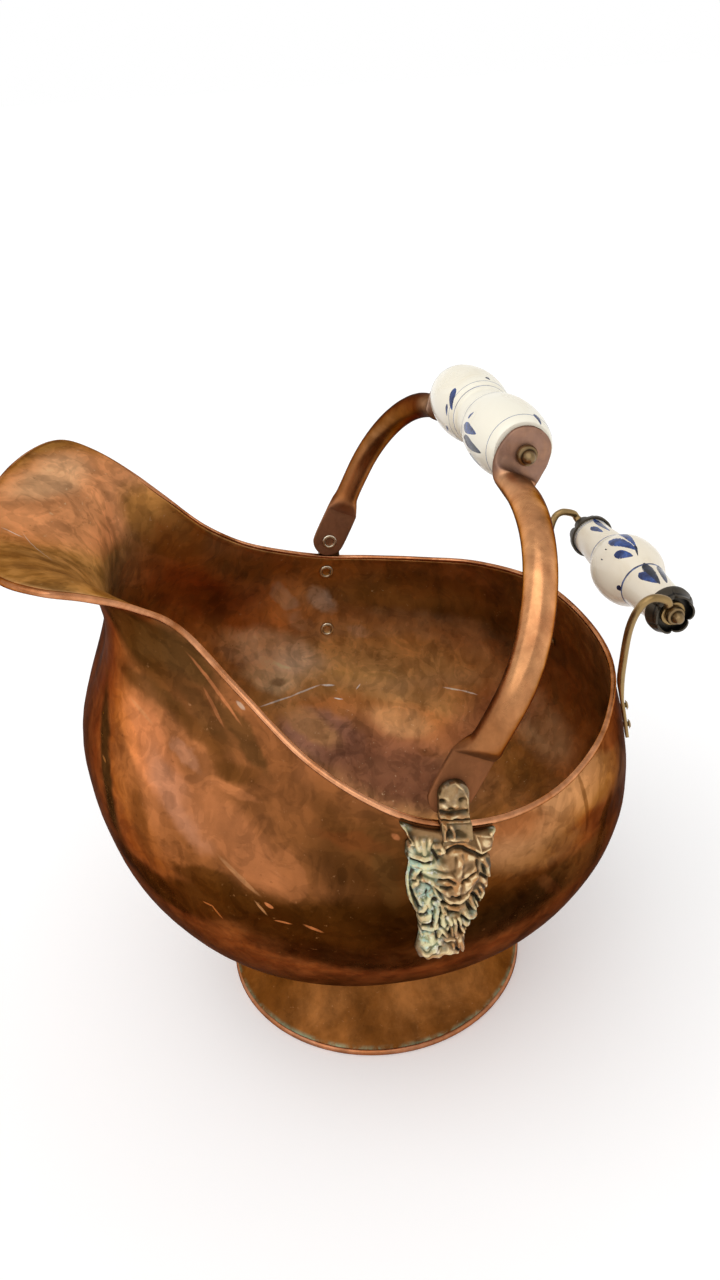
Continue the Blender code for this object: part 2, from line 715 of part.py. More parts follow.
def arm_sections():
    """Arm from its round flat foot, up the tube, over the shoulder and up into the flat head."""
    rings = []

    def section(y, z, tilt, half_wide, half_thick, roundness):
        across = Vector((0, math.cos(tilt), math.sin(tilt)))
        centre = Vector((0, y, z))
        shape = squircle(ARM_SIDES, half_wide, half_thick, roundness)
        rings.append([centre + Vector((a, 0, 0)) + across * b for a, b in shape])

    half_plate = ARM_PLATE / 2
    for share in FOOT_PLATE_SHARES:
        wide = ARM_FOOT_RADIUS * math.sqrt(1 - share * share)
        section(ARM_PLATE_MID, ARM_FOOT_RADIUS * share, 0, wide, half_plate, FLAT_ROUND_SHARE)
    section(ARM_PLATE_MID, ARM_FOOT_CREASE, 0, ARM_FOOT_RADIUS, half_plate, FLAT_ROUND_SHARE)
    for share in FOOT_GROWTH_SHARES:
        t = ease(share)
        y = blend(ARM_PLATE_MID, ARM_TUBE_OUT, t)
        z = ARM_FOOT_CREASE + ARM_FOOT_BLEND * share
        wide = blend(ARM_FOOT_RADIUS, ARM_TUBE_RADIUS, t)
        thick = blend(half_plate, ARM_TUBE_RADIUS, ease(share * FOOT_THICKEN_SHARE))
        section(y, z, 0, wide, thick, blend(FLAT_ROUND_SHARE, 2, min(1.0, share * FOOT_ROUNDEN_SHARE)))
    shoulder_z = BAIL_REACH - ARM_SHOULDER_DROP
    bend_y = HEAD_PLATE_MID + ARM_BEND_RADIUS
    run_y, run_z = ARM_TUBE_OUT - bend_y, shoulder_z - ARM_STRAIGHT
    power = 2 / ARM_ROUND_SHARE
    neck_wide = ARM_HEAD_RADIUS * SHOULDER_WIDE_SHARE
    neck_thick = ARM_TUBE_RADIUS * SHOULDER_THICK_SHARE
    for k in range(ARM_STEPS + 1):
        angle = math.pi / 2 * k / ARM_STEPS
        c, s = max(math.cos(angle), 0.0), math.sin(angle)
        y = bend_y + run_y * c ** power
        z = ARM_STRAIGHT + run_z * s ** power
        tilt = math.atan2(run_y * s * c ** (power - 1), run_z * c * s ** (power - 1))
        swell = ease((k / ARM_STEPS - SWELL_START_SHARE) / (1 - SWELL_START_SHARE))
        thick = blend(ARM_TUBE_RADIUS, neck_thick, swell)
        section(y, z, tilt, blend(ARM_TUBE_RADIUS, neck_wide, swell), thick, 2)
    for share in BEND_SHARES:
        angle = math.pi / 2 * share
        y = bend_y - ARM_BEND_RADIUS * math.sin(angle)
        z = shoulder_z + ARM_BEND_RADIUS * (1 - math.cos(angle))
        wide = blend(neck_wide, ARM_HEAD_RADIUS, ease(share))
        thick = blend(neck_thick, half_plate, ease(share))
        section(y, z, math.pi / 2 - angle, wide, thick, blend(2, FLAT_ROUND_SHARE, share))
    for share in HEAD_PLATE_SHARES:
        wide = ARM_HEAD_RADIUS * math.sqrt(1 - share * share)
        section(HEAD_PLATE_MID, BAIL_REACH + ARM_HEAD_RADIUS * share, 0, wide, half_plate, FLAT_ROUND_SHARE)
    return rings


def make_bail():
    rings = arm_sections()
    for suffix, side in SIDES:
        mirrored = [[Vector((p.x, side * p.y, p.z)) for p in ring] for ring in rings]
        arm = build_object("bail_arm_" + suffix, loft(mirrored), DULL_COPPER, BAIL_AXIS)
        hole = STUD_RADIUS + SEAT_GAP
        foot = (0, side * ARM_PLATE_MID, 0)
        drill(arm, "arm_pivot_hole_" + suffix, foot, (0, 1, 0), hole, ARM_PLATE + CUT_OVERRUN, BAIL_AXIS)
        head = (0, side * HEAD_PLATE_MID, BAIL_REACH)
        rod_hole = ROD_RADIUS + SEAT_GAP
        drill(arm, "arm_rod_hole_" + suffix, head, (0, 1, 0), rod_hole, ARM_PLATE + CUT_OVERRUN, BAIL_AXIS)
        nut_start = HEAD_PLATE_MID + ARM_PLATE / 2 + SEAT_GAP
        make_nut("bail_nut_" + suffix, Vector((0, side * nut_start, BAIL_REACH)), side, BAIL_AXIS)
    half = HEAD_PLATE_MID + ARM_PLATE / 2 + NUT_BASE
    make_rod("bail_rod", Vector((0, 0, BAIL_REACH)), half, BAIL_AXIS)


def along_y(place, side=1):
    """Frame whose Z axis points along Y, out to one side."""
    return Matrix.Translation(place) @ Matrix.Rotation(-side * math.pi / 2, 4, "X")


def make_rod(name, place, half, parent=None):
    profile = [(0, -half), (ROD_RADIUS, -half), (ROD_RADIUS, half), (0, half)]
    build_object(name, turned(profile, ROD_SIDES, along_y(place)), STEEL, parent)


# Acorn nut, as shares of its collar's radius and height, then of its dome's.
COLLAR_SHARES = ((1.0, 0.0), (1.0, 0.7), (0.86, 1.0))
DOME_SHARES = ((1.0, 0.06), (1.0, 0.45), (0.72, 0.82), (0.0, 1.0))


def make_nut(name, start, side, parent=None):
    """Domed nut that closes over the rod's end."""
    bore = ROD_RADIUS + SEAT_GAP
    profile = [(0, NUT_BASE), (bore, NUT_BASE), (bore, 0)]
    profile += [(NUT_RADIUS * wide, NUT_BASE * high) for wide, high in COLLAR_SHARES]
    profile += [(NUT_DOME_RADIUS * wide, NUT_BASE + NUT_DOME * high) for wide, high in DOME_SHARES]
    build_object(name, turned(profile, NUT_SIDES, along_y(start, side)), DARK_BRASS, parent)


# Grips. Rows: distance from the middle as a share of the half length, then how far the radius has gone
# from the waist's or neck's to the bulb's or bulge's, and in the end rows on to the end's.
BAIL_GRIP_SHARES = (
    (0.00, 0.00), (0.07, 0.00), (0.10, 0.165), (0.16, 0.23), (0.20, 0.50), (0.32, 0.81), (0.50, 1.00),
    (0.66, 0.935),
)
BAIL_END_SHARES = ((0.82, 0.38), (0.94, 0.80), (1.00, 1.24))
REAR_GRIP_SHARES = ((0.00, 1.00), (0.10, 0.955), (0.20, 0.78), (0.30, 0.42), (0.38, 0.12), (0.43, 0.00))
REAR_END_SHARES = ((0.62, 0.45), (0.80, 0.93), (1.00, 1.00))


def make_grip(name, half, rows, place, parent):
    """Turned ceramic grip with a bore for its rod; its origin lies on the rod's axis."""
    bore = ROD_RADIUS + GRIP_RUN
    outer = [(radius, share * half) for share, radius in rows]
    mirrored = [(radius, -height) for radius, height in outer[:0:-1]]
    profile = mirrored + outer + [(bore, half), (bore, -half)]
    grip = build_object(name, turned(profile, GRIP_SIDES, along_y((0, 0, 0))), GLAZE, parent)
    grip.location = place
    return grip


def make_grips():
    bail_rows = [(along, blend(BULB_WAIST_RADIUS, BULB_RADIUS, t)) for along, t in BAIL_GRIP_SHARES]
    bail_rows += [(along, blend(BULB_RADIUS, BULB_END_RADIUS, t)) for along, t in BAIL_END_SHARES]
    make_grip("bail_grip", BAIL_GRIP_HALF, bail_rows, (0, 0, BAIL_REACH), BAIL_AXIS)
    rear_rows = [(along, blend(BULGE_NECK_RADIUS, BULGE_RADIUS, t)) for along, t in REAR_GRIP_SHARES]
    rear_rows += [(along, blend(BULGE_NECK_RADIUS, REAR_END_RADIUS, t)) for along, t in REAR_END_SHARES]
    make_grip("rear_grip", REAR_GRIP_HALF, rear_rows, (FOOT_X + REAR_X, 0, REAR_Z), None)


# Rear handle
MOUTH_Y = REAR_GRIP_HALF - FERRULE_LAP + FERRULE_LENGTH
EYE_MID = REAR_GRIP_HALF + GRIP_RUN + FERRULE_WALL + 2 * SEAT_GAP + BRACKET_EYE_PLATE / 2
# Bracket stem: shares of the way along to the eye, up to the top of the curl and out past the ferrule.
BRACKET_SHARES = (
    (0.03, 0.18, 0.06), (0.02, 0.38, 0.20), (0.01, 0.56, 0.38), (0.01, 0.72, 0.60), (0.06, 0.86, 0.82),
    (0.19, 0.965, 0.96), (0.36, 1.00, 1.00), (0.54, 0.99, 1.00),
)
# Way in through the ferrule's mouth: distance from the rod as a share of its radius, and share still outside.
BRACKET_ENTRY_SHARES = ((1.08, 1.04), (0.88, 0.99), (0.68, 0.54), (0.49, 0.09))
BRACKET_FOOT_SHARES = (0.0, 0.25, 0.5, 0.75, 1.0)
BRACKET_EYE_SHARES = (-0.55, 0.0, 0.55, 0.92)
ENTRY_WIDE_SHARE = 1.3
ENTRY_ROUND_SHARE = 4
RIVET_PLACE_SHARES = (("lower", 0.25), ("upper", 0.75))


def make_ferrules():
    """Dark cups that lap the grip's ends and open outwards."""
    inner = REAR_END_RADIUS + SEAT_GAP + GRIP_RUN
    start = -FERRULE_LAP
    floor = SEAT_GAP + GRIP_RUN
    end = FERRULE_LENGTH - FERRULE_LAP
    bore = ROD_RADIUS + SEAT_GAP
    profile = [
        (bore, floor), (inner, floor), (inner, start), (inner + FERRULE_WALL, start),
        (FERRULE_RADIUS, end), (FERRULE_RADIUS - FERRULE_WALL, end),
        (inner - FERRULE_WALL, floor + FERRULE_WALL), (bore, floor + FERRULE_WALL),
    ]
    for suffix, side in SIDES:
        place = Vector((FOOT_X + REAR_X, side * REAR_GRIP_HALF, REAR_Z))
        build_object("rear_ferrule_" + suffix, turned(profile, FERRULE_SIDES, along_y(place, side)), DARK)


def wall_out(azimuth, z):
    """Place on the bowl's outer skin in one direction from the foot's axis, and its normal."""
    out = Vector((math.cos(azimuth), math.sin(azimuth), 0))
    hit, normal, _, _ = WALL.ray_cast(Vector((FOOT_X, 0, z)) + out * FAR_OUT, -out)
    return hit, normal


def bracket_stations():
    """Centre, width direction, half width, half thickness and roundness along one bracket."""
    stations = []
    seat = SEAT_GAP * 2 + BRACKET_FOOT_PLATE / 2
    foot_half = BRACKET_FOOT_WIDTH / 2
    y_axis = Vector((0, 1, 0))
    for share in BRACKET_FOOT_SHARES:
        z = blend(BRACKET_FOOT_LOW_Z, BRACKET_FOOT_TOP_Z, share)
        hit, normal = wall_out(BRACKET_AZIMUTH, z)
        across = Vector((0, 0, 1)).cross(normal)
        stations.append((hit + normal * seat, across, foot_half, BRACKET_FOOT_PLATE / 2, FLAT_ROUND_SHARE))
    foot_top = stations[-1][0]
    out_y = MOUTH_Y + GRIP_RUN + BRACKET_RADIUS
    eye = Vector((FOOT_X + REAR_X, EYE_MID, REAR_Z))
    for along, up, out in BRACKET_SHARES:
        x = blend(FOOT_X + BRACKET_STEM_X, eye.x, along)
        y = blend(foot_top.y, out_y, out)
        z = blend(foot_top.z, REAR_Z + BRACKET_RISE, up)
        stations.append((Vector((x, y, z)), y_axis, BRACKET_RADIUS, BRACKET_RADIUS, 2))
    inward = Vector((math.cos(BRACKET_ENTRY), 0, -math.sin(BRACKET_ENTRY)))
    for distance, out in BRACKET_ENTRY_SHARES:
        centre = eye - inward * (FERRULE_RADIUS * distance) + y_axis * ((out_y - EYE_MID) * out)
        flat = ease(1 - out)
        thick = blend(BRACKET_RADIUS, BRACKET_EYE_PLATE / 2, flat)
        half = blend(BRACKET_RADIUS, BRACKET_RADIUS * ENTRY_WIDE_SHARE, flat)
        stations.append((centre, y_axis, thick, half, blend(2, ENTRY_ROUND_SHARE, flat)))
    for share in BRACKET_EYE_SHARES:
        half = BRACKET_EYE_RADIUS * math.sqrt(1 - share * share)
        centre = eye + inward * (BRACKET_EYE_RADIUS * share)
        stations.append((centre, y_axis, BRACKET_EYE_PLATE / 2, half, FLAT_ROUND_SHARE))
    return stations


def sweep(stations, sides):
    """Rings square to a path, each with its own section."""
    rings = []
    last = len(stations) - 1
    for i, (centre, across, half_wide, half_thick, roundness) in enumerate(stations):
        ahead = (stations[min(i + 1, last)][0] - stations[max(i - 1, 0)][0]).normalized()
        wide = (across - ahead * across.dot(ahead)).normalized()
        thick = ahead.cross(wide)
        shape = squircle(sides, half_wide, half_thick, roundness)
        rings.append([centre + wide * a + thick * b for a, b in shape])
    return rings


def make_brackets(bowl):
    """Brass rods, flattened at the foot for two rivets and at the top into an eye inside the ferrule."""
    rings = sweep(bracket_stations(), BRACKET_SIDES)
    for suffix, side in SIDES:
        mirrored = [[Vector((p.x, side * p.y, p.z)) for p in ring] for ring in rings]
        bracket = build_object("rear_bracket_" + suffix, loft(mirrored), DARK_BRASS)
        place = Vector((FOOT_X + REAR_X, side * EYE_MID, REAR_Z))
        rod_hole = ROD_RADIUS + SEAT_GAP
        drill(bracket, "eye_hole_" + suffix, place, (0, 1, 0), rod_hole, BRACKET_EYE_PLATE + CUT_OVERRUN)
        for label, share in RIVET_PLACE_SHARES:
            z = blend(BRACKET_FOOT_LOW_Z, BRACKET_FOOT_TOP_Z, share)
            hit, normal = wall_out(BRACKET_AZIMUTH, z)
            axis = Vector((normal.x, side * normal.y, normal.z))
            outer = Vector((hit.x, side * hit.y, z))
            hole = RIVET_RADIUS + SEAT_GAP
            length = SHEET + BRACKET_FOOT_PLATE + 2 * CUT_OVERRUN
            name = "%s_%s" % (label, suffix)
            drill(bowl, "rivet_hole_wall_" + name, outer, axis, hole, length, None, RIVET_SIDES)
            drill(bracket, "rivet_hole_foot_" + name, outer, axis, hole, length, None, RIVET_SIDES)
            make_rivet("bracket_rivet_" + name, outer, axis)


# Rivet head: radius and height of its shoulder; and how much deeper the grip is than the foot's plate.
RIVET_HEAD_SHARES = (0.6, 0.8)
RIVET_GRIP_SHARE = 1.25


def make_rivet(name, wall_point, axis):
    """Solid rivet with a domed head each side of the wall and the bracket's foot."""
    inside = -(SHEET + 2 * SEAT_GAP)
    outside = BRACKET_FOOT_PLATE * RIVET_GRIP_SHARE + 4 * SEAT_GAP
    shoulder = RIVET_HEAD_RADIUS * RIVET_HEAD_SHARES[0]
    rise = RIVET_HEAD * RIVET_HEAD_SHARES[1]
    profile = [
        (0, inside - RIVET_HEAD), (shoulder, inside - rise), (RIVET_HEAD_RADIUS, inside),
        (RIVET_RADIUS, inside), (RIVET_RADIUS, outside), (RIVET_HEAD_RADIUS, outside),
        (shoulder, outside + rise), (0, outside + RIVET_HEAD),
    ]
    turn = Vector((0, 0, 1)).rotation_difference(axis).to_matrix().to_4x4()
    build_object(name, turned(profile, RIVET_SIDES, Matrix.Translation(wall_point) @ turn), DARK_BRASS)


def make_rear_rod():
    half = EYE_MID + BRACKET_EYE_PLATE / 2 + NUT_BASE
    make_rod("rear_rod", Vector((FOOT_X + REAR_X, 0, REAR_Z)), half)
    start = EYE_MID + BRACKET_EYE_PLATE / 2 + SEAT_GAP
    for suffix, side in SIDES:
        make_nut("rear_nut_" + suffix, Vector((FOOT_X + REAR_X, side * start, REAR_Z)), side)


def make_pivots(mask, suffix, side):
    """Hollow pivot stud: held in the tab, with the arm's foot turning on it."""
    shank = STUD_FLANGE + SEAT_GAP + ARM_PLATE + SEAT_GAP + STUD_GRIP
    start_y = ARM_PLATE_MID - ARM_PLATE / 2 - SEAT_GAP - STUD_FLANGE
    place = Vector((FOOT_X + PIVOT_X, side * start_y, PIVOT_Z))
    make_stud("pivot_stud_" + suffix, place, (0, side, 0), shank)
    depth = 2 * (STUD_GRIP + SEAT_GAP)
    centre = Vector((FOOT_X + PIVOT_X, side * TAB_INNER, PIVOT_Z))
    drill(mask, "tab_hole_" + suffix, centre, (0, 1, 0), STUD_RADIUS + SEAT_GAP, depth)


def make_scuttle():
    bowl = make_bowl()
    make_rim_bead()
    make_foot()
    for suffix, side in SIDES:
        mask = make_mask(suffix, side)
        make_mask_fixings(bowl, mask, suffix, side)
        make_pivots(mask, suffix, side)
    make_bail()
    make_grips()
    make_ferrules()
    make_brackets(bowl)
    make_rear_rod()


make_scuttle()
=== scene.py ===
"""Looks of a helmet coal scuttle: patinated copper, cast lion masks, painted ceramic grips."""
import json
import math

import bmesh
import bpy
import numpy as np
from mathutils import Matrix, Vector, noise
from mathutils.bvhtree import BVHTree


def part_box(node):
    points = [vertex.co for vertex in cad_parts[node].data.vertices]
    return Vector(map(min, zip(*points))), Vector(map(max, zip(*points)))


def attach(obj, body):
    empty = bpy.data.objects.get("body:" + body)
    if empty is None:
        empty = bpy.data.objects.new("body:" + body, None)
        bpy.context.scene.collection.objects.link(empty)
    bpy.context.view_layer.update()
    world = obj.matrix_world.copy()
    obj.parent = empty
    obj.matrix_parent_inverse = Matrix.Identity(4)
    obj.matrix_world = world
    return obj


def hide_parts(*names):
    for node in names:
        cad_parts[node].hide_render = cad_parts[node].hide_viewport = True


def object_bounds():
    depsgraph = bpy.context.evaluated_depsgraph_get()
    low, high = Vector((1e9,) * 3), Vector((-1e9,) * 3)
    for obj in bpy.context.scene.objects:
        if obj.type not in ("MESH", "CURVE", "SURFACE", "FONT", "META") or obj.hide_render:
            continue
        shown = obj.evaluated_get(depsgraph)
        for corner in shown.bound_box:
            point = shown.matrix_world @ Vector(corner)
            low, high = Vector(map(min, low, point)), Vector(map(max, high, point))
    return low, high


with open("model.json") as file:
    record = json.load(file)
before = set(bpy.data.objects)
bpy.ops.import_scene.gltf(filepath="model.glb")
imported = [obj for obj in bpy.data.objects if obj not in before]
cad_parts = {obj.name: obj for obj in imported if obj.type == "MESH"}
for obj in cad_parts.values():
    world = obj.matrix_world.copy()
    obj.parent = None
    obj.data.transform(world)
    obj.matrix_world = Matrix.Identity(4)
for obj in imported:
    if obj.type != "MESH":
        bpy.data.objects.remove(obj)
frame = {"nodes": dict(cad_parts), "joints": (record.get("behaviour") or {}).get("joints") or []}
CAD_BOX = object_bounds()

# Places from the frame, in metres. X runs from the spout (minus) to the rear handle (plus), Z is up.
JOINTS = {joint["name"]: Vector(joint["pos_m"]) for joint in frame["joints"]}
PIVOT = JOINTS["bail_swing"]
BAIL_TOP = JOINTS["bail_grip_spin"]
REAR_MID = JOINTS["rear_grip_spin"]
FOOT_LOW, FOOT_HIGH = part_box("foot_bead")
FOOT_X = (FOOT_LOW.x + FOOT_HIGH.x) / 2
BAIL_REACH = (BAIL_TOP - PIVOT).length
BAIL_LEAN = math.atan2(BAIL_TOP.x - PIVOT.x, BAIL_TOP.z - PIVOT.z)
BAIL_GRIP_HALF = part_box("bail_grip")[1].y
REAR_GRIP_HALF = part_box("rear_grip")[1].y

# Sizes of the solids, in metres
MILLIMETRE = 0.001
GAP = 0.0003

# Bowl and rim
BOWL_RADIUS = 0.1491
BOWL_HALF_WIDTH = 0.1447
BOWL_BOTTOM_Z = 0.0202
GIRTH_Z = 0.1622
GIRTH_TILT = 0.0214
BOWL_LEAN = 0.0021
SHEET = 0.0016
SIDE_ROUND_SHARE = 1.774
FRONT_ROUND_SHARE = 2.157
REAR_ROUND_SHARE = 1.797
START_PULL_SHARE = 1.15
SPOUT_REACH = 0.178
REAR_REACH = 0.1315
RIM_HALF_WIDTH = 0.1437
RIM_LOW_Z = 0.203
SPOUT_TOP_Z = 0.320
RIM_BEAD_RADIUS = 0.0017
RIM_SEAT = 0.0006

# Foot
FOOT_RADIUS = 0.0905
FOOT_TOP_RADIUS = 0.070
FOOT_BEAD_RADIUS = 0.0021
FOOT_SHEET = 0.0014
FOOT_FLARE_SHARE = 1.6

# Arms of the bail
ARM_TUBE_RADIUS = 0.0073
ARM_TUBE_OUT = 0.1450
ARM_PLATE = 0.0028
ARM_FOOT_RADIUS = 0.0103
ARM_HEAD_RADIUS = 0.0127
ARM_BEND_RADIUS = 0.0085
ARM_SHOULDER_DROP = 0.0140
ARM_FOOT_CREASE = 0.0190
ARM_FOOT_BLEND = 0.0140
ARM_STRAIGHT = 0.0500
ARM_ROUND_SHARE = 1.85

# Masks, their hooks over the rim and their studs
MASK_BOTTOM_Z = 0.1325
MASK_OFFSET = 0.0024
MASK_LEAN = 0.0046
MASK_PLATE = 0.0030
HOOK_LOW_Z = 0.1950
TAB_WIDTH = 0.0132
TAB_PLATE = 0.0030
TAB_CROWN = 0.0066
HOOK_PLATE = 0.0032
HOOK_TOP = 0.0030
STUD_RADIUS = 0.0035
STUD_BORE = 0.0027
STUD_FLANGE_RADIUS = 0.0046
STUD_FLANGE = 0.0009
STUD_GRIP = 0.0020
UPPER_STUD_Z = 0.1965
LOWER_STUD_Z = 0.1530

# Grips
BULB_RADIUS = 0.0185
BULB_WAIST_RADIUS = 0.0142
BULB_END_RADIUS = 0.0148
BULGE_RADIUS = 0.0190
BULGE_NECK_RADIUS = 0.0126
REAR_END_RADIUS = 0.0110
GRIP_RUN = 0.0005

# Rods, nuts and cups
ROD_RADIUS = 0.0030
NUT_RADIUS = 0.0050
NUT_BASE = 0.0030
NUT_DOME_RADIUS = 0.0033
NUT_DOME = 0.0048
FERRULE_RADIUS = 0.0125
FERRULE_LENGTH = 0.0085
FERRULE_WALL = 0.0010
FERRULE_LAP = 0.0020

# Brackets of the rear handle
BRACKET_RADIUS = 0.0021
BRACKET_EYE_RADIUS = 0.0058
BRACKET_EYE_PLATE = 0.0022
BRACKET_FOOT_WIDTH = 0.0078
BRACKET_FOOT_PLATE = 0.0020
BRACKET_FOOT_TOP_Z = 0.1900
BRACKET_FOOT_LOW_Z = 0.1660
BRACKET_AZIMUTH = math.radians(20)
BRACKET_STEM_X = 0.1310
BRACKET_RISE = 0.0137
BRACKET_ENTRY = math.radians(57)

SIDES = (("l", -1), ("r", 1))
TURN = 2 * math.pi

# Camera: its place, its turns and its focal length in pixels of the 720 x 1280 image
CAMERA_PLACE = Vector((FOOT_X - 0.0857, -0.4748, 0.4934))
CAMERA_PITCH = math.radians(29.37)
CAMERA_ROLL = math.radians(-3.65)
CAMERA_AZIMUTH = math.radians(10.46)
FOCAL_PIXELS = 1024.2
IMAGE_WIDTH = 720
IMAGE_HEIGHT = 1280
SENSOR = 36.0


def camera_axes():
    """Right, up and forward directions of the camera."""
    ca, sa = math.cos(CAMERA_AZIMUTH), math.sin(CAMERA_AZIMUTH)
    flat, right = Vector((sa, ca, 0)), Vector((ca, -sa, 0))
    cp, sp = math.cos(CAMERA_PITCH), math.sin(CAMERA_PITCH)
    ahead = flat * cp - Vector((0, 0, sp))
    up = flat * sp + Vector((0, 0, cp))
    cr, sr = math.cos(CAMERA_ROLL), math.sin(CAMERA_ROLL)
    return right * cr + up * sr, up * cr - right * sr, ahead


CAMERA_RIGHT, CAMERA_UP, CAMERA_AHEAD = camera_axes()


def seen(tree, px, py):
    """Place and normal where the line of sight through a pixel first meets a surface."""
    across, down = (px - IMAGE_WIDTH / 2) / FOCAL_PIXELS, (py - IMAGE_HEIGHT / 2) / FOCAL_PIXELS
    sight = (CAMERA_AHEAD + CAMERA_RIGHT * across - CAMERA_UP * down).normalized()
    hit, normal, _, _ = tree.ray_cast(CAMERA_PLACE, sight)
    return hit, normal


def pixel_length(place, pixels):
    """Length in metres of a number of pixels at a place."""
    return pixels * (place - CAMERA_PLACE).dot(CAMERA_AHEAD) / FOCAL_PIXELS


def pixel_of(place):
    """Pixel under which a place lies."""
    off = place - CAMERA_PLACE
    share = FOCAL_PIXELS / off.dot(CAMERA_AHEAD)
    return IMAGE_WIDTH / 2 + off.dot(CAMERA_RIGHT) * share, IMAGE_HEIGHT / 2 - off.dot(CAMERA_UP) * share


# Rim and neck of the bowl from the rear round to the spout's tip, as in the solids: shares of the half
# turn, reach, half width and height.
RIM_SHARES = (
    (0.000, 1.000, 0.000, 0.085),
    (0.125, 0.943, 0.369, 0.085),
    (0.244, 0.768, 0.675, 0.048),
    (0.333, 0.548, 0.867, 0.008),
    (0.408, 0.319, 0.971, 0.002),
    (0.475, 0.091, 0.999, 0.030),
    (0.533, -0.084, 0.964, 0.107),
    (0.594, -0.253, 0.835, 0.265),
    (0.656, -0.393, 0.660, 0.487),
    (0.706, -0.506, 0.565, 0.709),
    (0.750, -0.601, 0.598, 0.842),
    (0.792, -0.702, 0.654, 0.944),
    (0.833, -0.796, 0.672, 1.000),
    (0.878, -0.888, 0.557, 1.000),
    (0.936, -0.961, 0.327, 0.974),
    (1.000, -1.000, 0.000, 0.923),
)
NECK_SHARES = (
    (1.068, 0.000, -0.179),
    (1.000, 0.369, -0.171),
    (0.817, 0.696, -0.162),
    (0.570, 0.884, -0.162),
    (0.327, 0.985, -0.154),
    (0.091, 1.016, -0.128),
    (-0.086, 0.999, -0.085),
    (-0.250, 0.898, 0.026),
    (-0.393, 0.717, 0.248),
    (-0.500, 0.578, 0.504),
    (-0.573, 0.529, 0.684),
    (-0.635, 0.487, 0.761),
    (-0.680, 0.418, 0.778),
    (-0.708, 0.299, 0.733),
    (-0.721, 0.160, 0.672),
    (-0.722, 0.000, 0.629),
)
# The sheet's edge runs into the bead.
EDGE_BURY_SHARE = 0.3
SPAN_STEPS = 8
LOWER_RINGS = 36
WALL_RINGS = 16
LIP_RINGS = 20


def blend(a, b, t):
    return a + (b - a) * t


def ease(t):
    t = min(max(t, 0.0), 1.0)
    return t * t * (3 - 2 * t)


def spline(p0, p1, p2, p3, t):
    """Smooth curve through p1 and p2."""
    first = 2 * p1 + (p2 - p0) * t
    return (first + (2 * p0 - 5 * p1 + 4 * p2 - p3) * t * t + (3 * p1 - p0 - 3 * p2 + p3) * t * t * t) / 2


def hermite(start, end, start_pull, end_pull, t):
    """Smooth curve from one place to another that leaves and arrives along the pulls."""
    a = start * (2 * t ** 3 - 3 * t ** 2 + 1) + start_pull * (t ** 3 - 2 * t ** 2 + t)
    return a + end * (3 * t ** 2 - 2 * t ** 3) + end_pull * (t ** 3 - t ** 2)


def refine(rows, steps):
    """More rows between the given ones, on smooth curves through them."""
    last = len(rows) - 1
    fine = []
    for i in range(last):
        for k in range(steps):
            near = [rows[min(max(i + shift, 0), last)] for shift in (-1, 0, 1, 2)]
            fine.append([spline(*points, k / steps) for points in zip(*near)])
    fine.append(list(rows[-1]))
    return fine


def add_object(name, data):
    obj = bpy.data.objects.new(name, data)
    bpy.context.scene.collection.objects.link(obj)
    return obj


def join(bm, low, high):
    """Faces between two closed rings of points, or between a ring and a single point."""
    count = max(len(low), len(high))
    for k in range(count):
        n = (k + 1) % count
        if len(low) == 1:
            bm.faces.new((low[0], high[n], high[k]))
        elif len(high) == 1:
            bm.faces.new((low[k], low[n], high[0]))
        else:
            bm.faces.new((low[k], low[n], high[n], high[k]))


def strip(bm, low, high):
    """Faces between two open rows of points."""
    for k in range(len(low) - 1):
        bm.faces.new((low[k], low[k + 1], high[k + 1], high[k]))


def skin(rings, wrap=False):
    """Mesh over a row of closed rings; wrap joins the last to the first, else both ends are closed."""
    bm = bmesh.new()
    rows = [[bm.verts.new(point) for point in ring] for ring in rings]
    for low, high in zip(rows, rows[1:]):
        join(bm, low, high)
    if wrap:
        join(bm, rows[-1], rows[0])
    else:
        bm.faces.new(rows[0][::-1])
        bm.faces.new(rows[-1])
    return bm


def around(radius, angle, height, x=0.0):
    """Place at a radius, an angle and a height about an upright axis."""
    return Vector((x + radius * math.cos(angle), radius * math.sin(angle), height))


def turned(profile, sides, place):
    """Turn a profile of (radius, height) about the Z axis of a frame; it closes or ends on the axis."""
    bm = bmesh.new()
    columns = []
    for radius, height in profile:
        points = sides if radius else 1
        ring = [place @ around(radius, TURN * k / sides, height) for k in range(points)]
        columns.append([bm.verts.new(point) for point in ring])
    for low, high in zip(columns, columns[1:]):
        join(bm, low, high)
    if profile[0][0] or profile[-1][0]:
        join(bm, columns[-1], columns[0])
    return bm


def tree_of(bm):
    """Search tree over the triangles of a mesh, which is then freed."""
    bmesh.ops.triangulate(bm, faces=bm.faces)
    tree = BVHTree.FromBMesh(bm)
    bm.free()
    return tree


def squircle(sides, half_a, half_b, roundness):
    """Points round an oval; a roundness of 2 gives an ellipse, a high one nearly a box."""
    points = []
    for k in range(sides):
        angle = TURN * (k + 0.5) / sides
        c, s = math.cos(angle), math.sin(angle)
        a = half_a * math.copysign(abs(c) ** (2 / roundness), c)
        b = half_b * math.copysign(abs(s) ** (2 / roundness), s)
        points.append((a, b))
    return points


